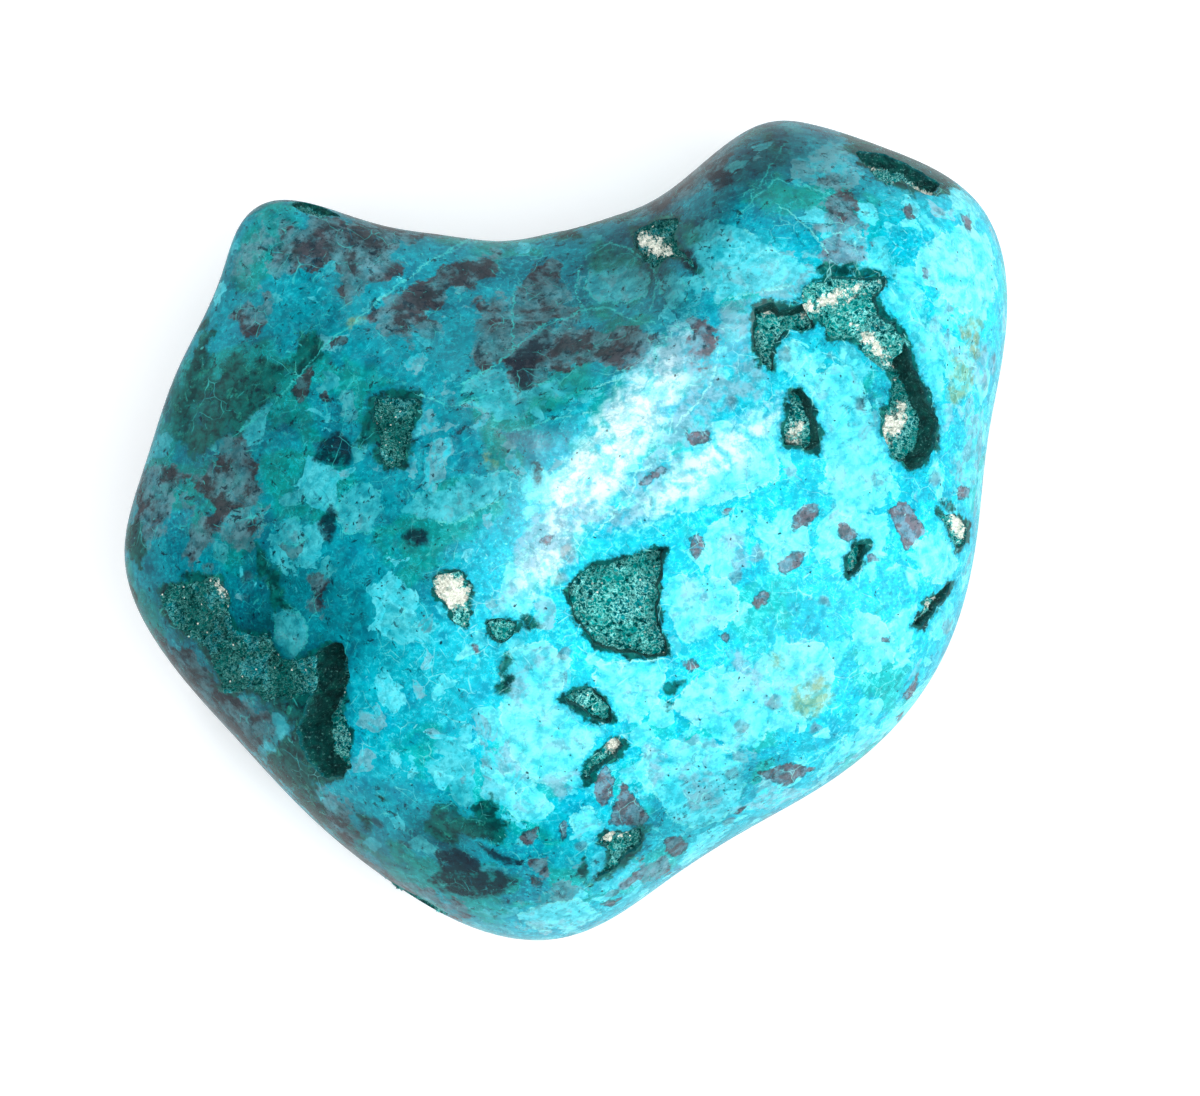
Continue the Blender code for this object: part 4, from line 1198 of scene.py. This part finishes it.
def cement(skin):
    """What holds the fragments: granular, with fine threads, from sea green to deep blue."""
    tree = skin.tree
    swirl = warped(tree, skin.place, 0.1, 6.0)
    cloud = grain(tree, swirl, 0.11, 3.0)
    patchy = grain(tree, swirl, 0.3, 5.0, 0.6)
    gritty = grain(tree, skin.place, 2.2, 3.0, 0.65)
    colour = paint(tree, step(tree, cloud, 0.52, 0.6, 0.0, 0.8), skin.shade(TEAL), skin.shade(SEA))
    colour = paint(tree, step(tree, patchy, 0.52, 0.64, 0.0, 0.8), colour, skin.shade(BLUE))
    wisp = off_centre(tree, grain(tree, skin.place, 0.55, 3.0, 0.6, 1.6))
    thread = step(tree, wisp, 0.0, 0.016, 0.9, 0.0)
    thread = times(tree, thread, step(tree, patchy, 0.42, 0.56, 1.0, 0.1))
    thread = larger(tree, thread, step(tree, gritty, 0.54, 0.66, 0.0, 0.35))
    return paint(tree, thread, colour, skin.shade(FIBRE))


def own_fragments(skin, colour, place, scale, fewest, most):
    """The rock's own fragments of one size: more of them where the stone is paler, which is partly its own
    colour and partly the painted light on the dome.
    """
    tree = skin.tree
    block = lots(tree, cells(tree, place, scale))
    width = plus(tree, 0.09, wander(tree, place, 0.35, 0.7, 4.0))
    body = step(tree, calc(tree, "SUBTRACT", seams(tree, place, scale), width), 0.0, 0.02)
    share = step(tree, skin.tone, 0.1, 0.9, fewest, most)
    body = times(tree, body, calc(tree, "LESS_THAN", block[0], share))
    cloudy = grain(tree, place, 0.9, 5.0, 0.6)
    bias = times(tree, calc(tree, "SUBTRACT", block[1], 0.5), 0.35)
    tone = plus(tree, skin.tone, bias)
    milk = paint(tree, step(tree, cloudy, 0.34, 0.68), ramp(tree, tone, MILK_SHADE), ramp(tree, tone, MILK))
    haze = times(tree, step(tree, block[2], 0.66, 0.8), step(tree, cloudy, 0.36, 0.56))
    milk = paint(tree, times(tree, haze, 0.75), milk, ramp(tree, tone, HAZE))
    return paint(tree, times(tree, body, 0.94), colour, milk)


def placed_fragments(skin, colour):
    """The milky fragments that have their own places, with a thin pale line round parts of them, and the
    white bands, which on the upper side are a painted highlight along the crest.
    """
    tree = skin.tree
    mottle = grain(tree, warped(tree, skin.place, 0.3, 3.0), 0.55, 4.0, 0.58)
    depth = plus(tree, field(tree, "pale"), skin.fine_edge)
    pale = times(tree, step(tree, depth, -0.1, 0.1), step(tree, mottle, 0.34, 0.56, 0.6, 0.98))
    milk = paint(tree, step(tree, mottle, 0.32, 0.68), skin.shade(MILK_SHADE), skin.shade(MILK))
    stain = grain(tree, skin.place, 0.55, 5.0, 0.68, 0.6)
    milk = paint(tree, step(tree, stain, 0.52, 0.66, 0.0, 0.6), milk, skin.shade(HAZE))
    colour = paint(tree, pale, colour, milk)
    # Painted highlight: the white bands along the crest.
    white = inside(tree, "white", skin.fine_edge, 1.0)
    white = times(tree, white, step(tree, mottle, 0.36, 0.58, 0.1, 0.95))
    colour = paint(tree, white, colour, skin.shade(MILK_AND_HIGHLIGHT_WHITE))
    outline = step(tree, calc(tree, "ABSOLUTE", plus(tree, depth, 0.1)), 0.03, 0.15, 0.7, 0.0)
    outline = times(tree, outline, step(tree, mottle, 0.45, 0.52))
    return paint(tree, outline, colour, skin.shade(VEIN))


def deep_bands(skin, colour):
    """Granular blue cement in its own places and round every hollow."""
    tree = skin.tree
    granular = paint(tree, step(tree, skin.fleck, 0.38, 0.6), skin.shade(BLUE), skin.shade(TEAL))
    granular = paint(tree, step(tree, skin.fleck, 0.6, 0.72), granular, skin.shade(FIBRE))
    deep = inside(tree, "deep", skin.edge, 0.25)
    deep = larger(tree, deep, step(tree, skin.halo, 0.4, 1.1, 0.9, 0.0))
    return paint(tree, times(tree, deep, 0.9), colour, granular)


def tinted_patches(skin, colour):
    """Patches of lavender, ochre and sea green."""
    tree = skin.tree
    lavender = times(tree, skin.mottled("lavender", 0.4, 0.38, 0.56, 0.25, 1.0), 0.8)
    colour = paint(tree, lavender, colour, skin.shade(HAZE))
    ochre = times(tree, skin.mottled("ochre", 0.5, 0.35, 0.6, 0.2, 0.9), 0.8)
    colour = paint(tree, ochre, colour, OLIVE)
    return paint(tree, skin.mottled("sea", 0.5, 0.34, 0.56, 0.3, 0.9), colour, skin.shade(SEA))


def stained_rock(skin, colour):
    """Large clasts of host rock, grey to rusty brown with dark blots."""
    tree = skin.tree
    stained = paint(tree, step(tree, skin.mottle, 0.36, 0.64), skin.shade(HAZE), skin.shade(CLAST))
    stained = paint(tree, step(tree, skin.rust, 0.46, 0.58), stained, skin.shade(CLAST_BROWN))
    stained = paint(tree, step(tree, skin.blots, 0.56, 0.66, 0.0, 0.85), stained, NAVY)
    share = plus(tree, field(tree, "stained"), plus(tree, skin.edge, skin.fine_edge))
    share = times(tree, step(tree, share, -0.25, 0.25), step(tree, skin.rust, 0.3, 0.5, 0.5, 0.94))
    return paint(tree, share, colour, stained)


def brown_chips(skin, colour):
    """Small brown chips with dark rims, in their own places and here and there between."""
    tree = skin.tree
    chip = cells(tree, warped(tree, skin.place, 0.7, 1.2), 0.42)
    chips = step(tree, chip.outputs["Distance"], 0.24, 0.4, 0.6, 0.0)
    chips = times(tree, step(tree, lots(tree, chip)[1], 0.93, 0.95), chips)
    depth = plus(tree, field(tree, "chips"), wander(tree, skin.place, 1.6, 0.9, 3.0, 0.63))
    chips = larger(tree, step(tree, depth, -0.08, 0.1), chips)
    brown = paint(tree, step(tree, skin.blots, 0.42, 0.56), skin.shade(CLAST), skin.shade(CLAST_BROWN))
    brown = paint(tree, step(tree, skin.fleck, 0.3, 0.42, 0.8, 0.0), brown, NAVY)
    colour = paint(tree, times(tree, chips, 0.92), colour, brown)
    rim = step(tree, calc(tree, "ABSOLUTE", depth), 0.04, 0.14, 0.6, 0.0)
    return paint(tree, times(tree, rim, step(tree, skin.mottle, 0.42, 0.56)), colour, NAVY)


def malachite(skin, colour):
    """Dark malachite in its own places and at every hollow's rim, and near-black blots."""
    tree = skin.tree
    green = paint(tree, step(tree, skin.blots, 0.36, 0.62), MALACHITE_BLACK, MALACHITE_DEEP)
    green = paint(tree, step(tree, skin.mottle, 0.54, 0.72, 0.0, 0.9), green, MALACHITE_GREEN)
    share = plus(tree, field(tree, "malachite"), plus(tree, skin.edge, skin.fine_edge))
    share = times(tree, step(tree, share, -0.4, 0.3), step(tree, skin.rust, 0.3, 0.48, 0.75, 1.0))
    share = larger(tree, share, step(tree, skin.halo, 0.1, 0.45, 1.0, 0.0))
    colour = paint(tree, share, colour, green)
    night = inside(tree, "night", skin.fine_edge, 0.25)
    night = times(tree, night, step(tree, skin.blots, 0.32, 0.5, 0.3, 0.9))
    return paint(tree, night, colour, NAVY)


def hairlines(skin, scale, width):
    """Hair-thin broken lines, as healed cracks leave."""
    tree = skin.tree
    seam = seams(tree, warped(tree, skin.place, 0.5, 1.2), scale)
    patchy = grain(tree, skin.place, 0.4, 4.0, 0.62)
    return times(tree, step(tree, seam, 0.0, width, 1.0, 0.0), step(tree, patchy, 0.48, 0.62, 0.0, 0.6))


def veins(skin, colour):
    """The pale veins that have their own courses, and hairlines everywhere."""
    tree = skin.tree
    vein = plus(tree, field(tree, "vein"), wander(tree, skin.place, 0.9, 1.5, 4.0, 0.68))
    vein = step(tree, calc(tree, "ABSOLUTE", vein), 0.02, 0.14, 1.0, 0.0)
    vein = times(tree, vein, step(tree, field(tree, "vein_near"), 0.7, 1.2, 1.0, 0.0))
    vein = times(tree, vein, step(tree, skin.blots, 0.38, 0.5))
    colour = paint(tree, times(tree, vein, 0.75), colour, skin.shade(VEIN))
    colour = paint(tree, hairlines(skin, 0.3, 0.022), colour, skin.shade(BLUE))
    return paint(tree, hairlines(skin, 0.46, 0.026), colour, skin.shade(VEIN))


def scratches_and_glints(skin, turn):
    """Short straight lines in one direction, as fibres and fine scratches show, drawn pale partly as
    painted glints.
    """
    tree = skin.tree
    inputs = {"Vector": skin.place, "Rotation": (0, 0, math.radians(turn)), "Scale": SCRATCH_STRETCH}
    drawn = make_node(tree, "Mapping", inputs, vector_type="TEXTURE").outputs[0]
    return step(tree, grain(tree, drawn, 2.6, 2.0, 0.5), 0.71, 0.77, 0.0, 0.5)


def weathering(skin, colour):
    """Cloudy shade, fine scratches drawn pale in part as painted glints, and fern-like dark stains over
    everything, more of them in the painted shade.
    """
    tree = skin.tree
    cloud = grain(tree, skin.place, 1.1, 4.0, 0.72)
    colour = paint(tree, step(tree, cloud, 0.56, 0.4, 0.0, 0.55), colour, SHADOW, "MULTIPLY")
    for turn in SCRATCH_TURNS:
        colour = paint(tree, scratches_and_glints(skin, turn), colour, skin.shade(VEIN))
    fern = grain(tree, warped(tree, skin.place, 0.5, 2.0), 1.0, 5.0, 0.74)
    # The dark stains crowd where the stone is deep, mostly in the painted shade of the facet.
    fern = times(tree, step(tree, fern, 0.585, 0.64), step(tree, skin.tone, 0.9, 0.3, 0.25, 0.85))
    return paint(tree, fern, colour, NAVY)


def specks(skin, colour):
    """Small dark specks, which crowd in their own places."""
    tree = skin.tree
    speck = cells(tree, warped(tree, skin.place, 2.0, 0.5), 1.7)
    crowd = step(tree, plus(tree, field(tree, "specks"), skin.edge), -0.6, 0.6, 0.0, 0.4)
    crowd = plus(tree, crowd, step(tree, skin.mottle, 0.5, 0.7, 0.03, 0.3))
    chosen = calc(tree, "LESS_THAN", lots(tree, speck)[0], crowd)
    dots = step(tree, speck.outputs["Distance"], 0.1, 0.26, 0.9, 0.0)
    return paint(tree, times(tree, chosen, dots), colour, NAVY)


def polished_material():
    """Chrysocolla breccia: blue-green stone, pale fragments, deep cement, clasts, veins and specks."""
    made, tree, shader = new_material("polished_breccia")
    skin = Skin(tree)
    colour = cement(skin)
    broken = warped(tree, warped(tree, skin.place, 0.22, 4.0), 1.3, 0.9)
    for scale, fewest, most in FRAGMENT_SIZES:
        colour = own_fragments(skin, colour, broken, scale, fewest, most)
    for layer in LAYERS:
        colour = layer(skin, colour)
    shader.inputs["Specular IOR Level"].default_value = 0.36
    tree.links.new(step(tree, skin.mottle, 0.3, 0.7, 0.16, 0.3), shader.inputs["Roughness"])
    relief = plus(tree, times(tree, skin.mottle, 0.7), times(tree, skin.fleck, 0.3))
    finish_material(tree, shader, colour, relief, 0.2, 0.0001)
    return made


# The rock's own fragments: cells a millimetre, and their share where the stone is deepest and palest.
FRAGMENT_SIZES = ((0.16, 0.2, 0.5), (0.42, 0.12, 0.3))
SCRATCH_STRETCH = (9.0, 1.0, 1.0)
SCRATCH_TURNS = (-52, 35)

# From the lowest to the topmost.
LAYERS = (
    placed_fragments, deep_bands, tinted_patches, stained_rock, brown_chips, malachite, veins, weathering,
    specks,
)


# ---------------------------------------------------------------- the hollows' skins


def wall_material():
    """The broken walls of a hollow: green-stained rock, bluer at the rim and darker further down."""
    made, tree, shader = new_material("hollow_wall")
    place = place_in_mm(tree)
    coarse = grain(tree, place, 1.2, 6.0, 0.65)
    fine = grain(tree, place, 4.0, 4.0, 0.7)
    colour = paint(tree, step(tree, coarse, 0.35, 0.6), MALACHITE_BLACK, MALACHITE_DEEP)
    colour = paint(tree, step(tree, coarse, 0.55, 0.68, 0.0, 0.8), colour, MALACHITE_GREEN)
    depth = plus(tree, field(tree, "depth"), wander(tree, place, 1.0, 1.0))
    colour = paint(tree, step(tree, depth, 0.2, 0.8, 0.45, 0.0), colour, CRYSTAL_BLUE)
    colour = paint(tree, step(tree, fine, 0.56, 0.7, 0.0, 0.8), colour, CRYSTAL_TIP_AND_GLINT)
    shader.inputs["Roughness"].default_value = 0.4
    finish_material(tree, shader, colour, plus(tree, coarse, times(tree, fine, 0.5)), 1.0, 0.001)
    return made


def crystal_colour(tree, place, coarse, fine):
    """Malachite green, darker in the painted shade and lighter in the painted light of the stone round the
    hollow, with ridges of painted glints, more of them where that stone is pale.
    """
    stone_pallor_and_shade = field(tree, "stone_pallor_and_shade")
    # Painted shade and light: darker green where the stone round the hollow lies in painted shade, lighter
    # in painted light.
    colour = paint(tree, step(tree, stone_pallor_and_shade, 0.2, 0.8), MALACHITE_DEEP, CRYSTAL_LIT_GREEN)
    colour = paint(tree, step(tree, coarse, 0.5, 0.62, 0.0, 0.7), colour, CRYSTAL_BLUE)
    colour = paint(tree, step(tree, fine, 0.5, 0.3), colour, MALACHITE_BLACK)
    # Painted glints on the ridges of the noise, more of them in the painted light.
    glint = step(tree, off_centre(tree, fine), 0.0, 0.06, 1.0, 0.0)
    glint = times(tree, glint, step(tree, coarse, 0.36, 0.56, 0.3, 1.0))
    glint = times(tree, glint, step(tree, stone_pallor_and_shade, 0.2, 0.8, 0.3, 1.0))
    colour = paint(tree, glint, colour, CRYSTAL_TIP_AND_GLINT)
    # Painted glints: white dots in a few random cells.
    sparkle = cells(tree, place, 2.2)
    chosen = calc(tree, "LESS_THAN", lots(tree, sparkle)[0], 0.07)
    bright = step(tree, sparkle.outputs["Distance"], 0.15, 0.3, 1.0, 0.0)
    return paint(tree, times(tree, chosen, bright), colour, QUARTZ_AND_GLINT_WHITE)


def druse_material():
    """Small crystals: malachite green with painted glints, and pale quartz where its patches are."""
    made, tree, shader = new_material("druse")
    place = place_in_mm(tree)
    coarse = grain(tree, place, 0.35, 5.0, 0.6)
    fine = grain(tree, warped(tree, place, 1.2, 0.6), 1.8, 5.0, 0.6)
    quartz = plus(tree, field(tree, "quartz"), wander(tree, place, 1.3, 4.6, 6.0, 0.7))
    white = paint(tree, step(tree, fine, 0.3, 0.5), QUARTZ_GREY, QUARTZ_AND_GLINT_WHITE)
    green = crystal_colour(tree, place, coarse, fine)
    colour = paint(tree, step(tree, quartz, -0.15, 0.15), green, white)
    shader.inputs["Roughness"].default_value = 0.16
    finish_material(tree, shader, colour, fine, 0.5, 0.0002)
    return made


# ---------------------------------------------------------------- studio

# In metres, unless said otherwise.
CAMERA_DISTANCE = 0.52  # over the belt
FRAME_WIDTH = 0.12  # what the picture spans at the belt
VIEW_MIDDLE = (3.45, -1.95)  # of the picture, in millimetres
SENSOR = 36.0  # in millimetres
FLOOR_SIZE = 1.5
FLOOR_DROP = 0.0001  # under the stone's flat foot
FLOOR_COLOUR = (0.93, 0.95, 0.97, 1)
FLOOR_GLOW_COLOUR = (0.95, 0.98, 1.0, 1)
FLOOR_GLOW = 0.22
SKY_COLOUR = (0.92, 0.98, 1.0, 1)
STONE_MIDDLE = (0, 0, 0.02)

# Points of the crest, in millimetres, at which a window over it is mirrored, and its brightness there.
CREST_GLINTS = ((-0.5, 1.0, 0.18), (3.0, 6.5, 0.5), (7.5, 11.5, 0.4))
GLINT_DISTANCE = 0.6
GLINT_SIZE = (0.09, 0.09)

# Bearing and brightness of the low windows that the stone's sides mirror.
SIDE_WINDOWS = ((150, 0.13), (95, 0.12), (25, 0.1), (-50, 0.12), (-120, 0.1))
SIDE_WINDOW_LATITUDE = 20  # in degrees
SIDE_WINDOW_DISTANCE = 0.7
SIDE_WINDOW_SIZE = (0.3, 0.14)


def build_camera():
    """The camera looks straight down on the stone."""
    lens = bpy.data.cameras.new("camera")
    lens.sensor_width = SENSOR
    lens.lens = SENSOR * CAMERA_DISTANCE / FRAME_WIDTH
    lens.clip_start = 0.01
    camera = link(bpy.data.objects.new("camera", lens))
    camera.location = (VIEW_MIDDLE[0] * MM, VIEW_MIDDLE[1] * MM, BELT_HEIGHT * MM + CAMERA_DISTANCE)
    bpy.context.scene.camera = camera


def build_floor():
    """A plain white floor, which the stone doesn't mirror."""
    bm = bmesh.new()
    bmesh.ops.create_grid(bm, x_segments=1, y_segments=1, size=FLOOR_SIZE)
    material, _, shader = new_material("floor")
    floor = new_object("floor", bm, [material], index=0)
    shader.inputs["Base Color"].default_value = FLOOR_COLOUR
    shader.inputs["Roughness"].default_value = 0.8
    shader.inputs["Emission Color"].default_value = FLOOR_GLOW_COLOUR
    shader.inputs["Emission Strength"].default_value = FLOOR_GLOW
    floor.location.z = -FLOOR_DROP
    floor.visible_glossy = False


def softbox(name, place, target, size, power):
    """An area light that faces a point."""
    light = bpy.data.lights.new(name, "AREA")
    light.shape = "RECTANGLE"
    light.size, light.size_y = size
    light.energy = power
    obj = link(bpy.data.objects.new(name, light))
    obj.location = place
    obj.rotation_euler = (Vector(target) - Vector(place)).to_track_quat("-Z", "Y").to_euler()
    return obj


def mirrored_place(x, y, distance):
    """Where a light must be for the camera to see it mirrored over (x, y), and the point there."""
    point, normal = seat_over(x, y)
    eye = bpy.context.scene.camera.location - point * MM
    back = eye.normalized()
    ray = 2 * normal.dot(back) * normal - back
    return point * MM + ray * distance, point * MM


def build_world():
    """Even light from all round, brighter near the horizon than overhead."""
    world = bpy.data.worlds.new("studio")
    bpy.context.scene.world = world
    world.use_nodes = True
    tree = world.node_tree
    direction = make_node(tree, "TexCoord").outputs["Generated"]
    lift = make_node(tree, "SeparateXYZ", {0: direction}).outputs["Z"]
    background = tree.nodes["Background"]
    background.inputs["Color"].default_value = SKY_COLOUR
    tree.links.new(step(tree, lift, 0.0, 0.3, 0.6, 0.02), background.inputs["Strength"])


def build_lights():
    """Light from overhead, more of it from the right, and windows mirrored in the crest and the sides."""
    ceiling = softbox("ceiling", (0.1, 0.0, 1.0), (0, 0, 0), (1.6, 1.6), 15.0)
    key = softbox("key", (0.55, -0.28, 0.42), STONE_MIDDLE, (0.5, 0.5), 4.4)
    for light in (ceiling, key):
        light.visible_glossy = False
    for i, (x, y, power) in enumerate(CREST_GLINTS):
        place, target = mirrored_place(x, y, GLINT_DISTANCE)
        softbox(f"window_{i}", place, target, GLINT_SIZE, power)
    for i, (bearing, power) in enumerate(SIDE_WINDOWS):
        place = bearing_direction(bearing, SIDE_WINDOW_LATITUDE) * SIDE_WINDOW_DISTANCE
        softbox(f"side_window_{i}", place, STONE_MIDDLE, SIDE_WINDOW_SIZE, power)


def set_light_paths():
    """True colours on screen, and few bounces, which a nearly convex stone needs no more of."""
    scene = bpy.context.scene
    scene.view_settings.view_transform = "Standard"
    scene.cycles.max_bounces = 3
    scene.cycles.diffuse_bounces = 2
    scene.cycles.glossy_bounces = 2


# ---------------------------------------------------------------- assembly


def ride_root(piece, slot, *nodes):
    """The piece moves with the stone and may stand for some CAD nodes. The slot is not used."""
    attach(piece, "root")
    if nodes:
        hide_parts(*nodes)


def every_hollow(rng):
    """The hollows of the upper side, then those of the sides."""
    hollows = []
    for name, (outline, depth, taper) in HOLLOWS.items():
        points, normal = top_hollow(outline)
        hollows.append(Hollow(name, ragged(points, normal), normal, depth, taper))
    for name, (*oval, depth) in SIDE_HOLLOWS.items():
        points, normal = side_hollow(*oval, rng)
        hollows.append(Hollow(name, ragged(points, normal), normal, depth, SIDE_TAPER))
    return hollows


def build_stone():
    """The stone with its hollows, and the crusts in them."""
    rng = random.Random(SEED)
    noise.seed_set(SEED)  # without this, noise_vector takes its seed from the clock
    polished = polished_material()
    wall = wall_material()
    druse = druse_material()
    stone = fine_stone([polished, wall])
    cutters = []
    for hollow in every_hollow(rng):
        cutters.append(hollow_cutter(hollow, wall))
        crust = crystal_crust(hollow, druse, rng)
        store(crust, crust_fields)
        ride_root(crust, "druse", *([f"druse_{hollow.name}"] if hollow.name in FRAME_CRUSTS else []))
    cut(stone, cutters)
    smooth_polish(stone)
    store(stone, mineral_fields)
    store(stone, crust_fields)
    ride_root(stone, "polished_stone", "stone")


build_camera()
build_floor()
build_lights()
build_world()
set_light_paths()
build_stone()
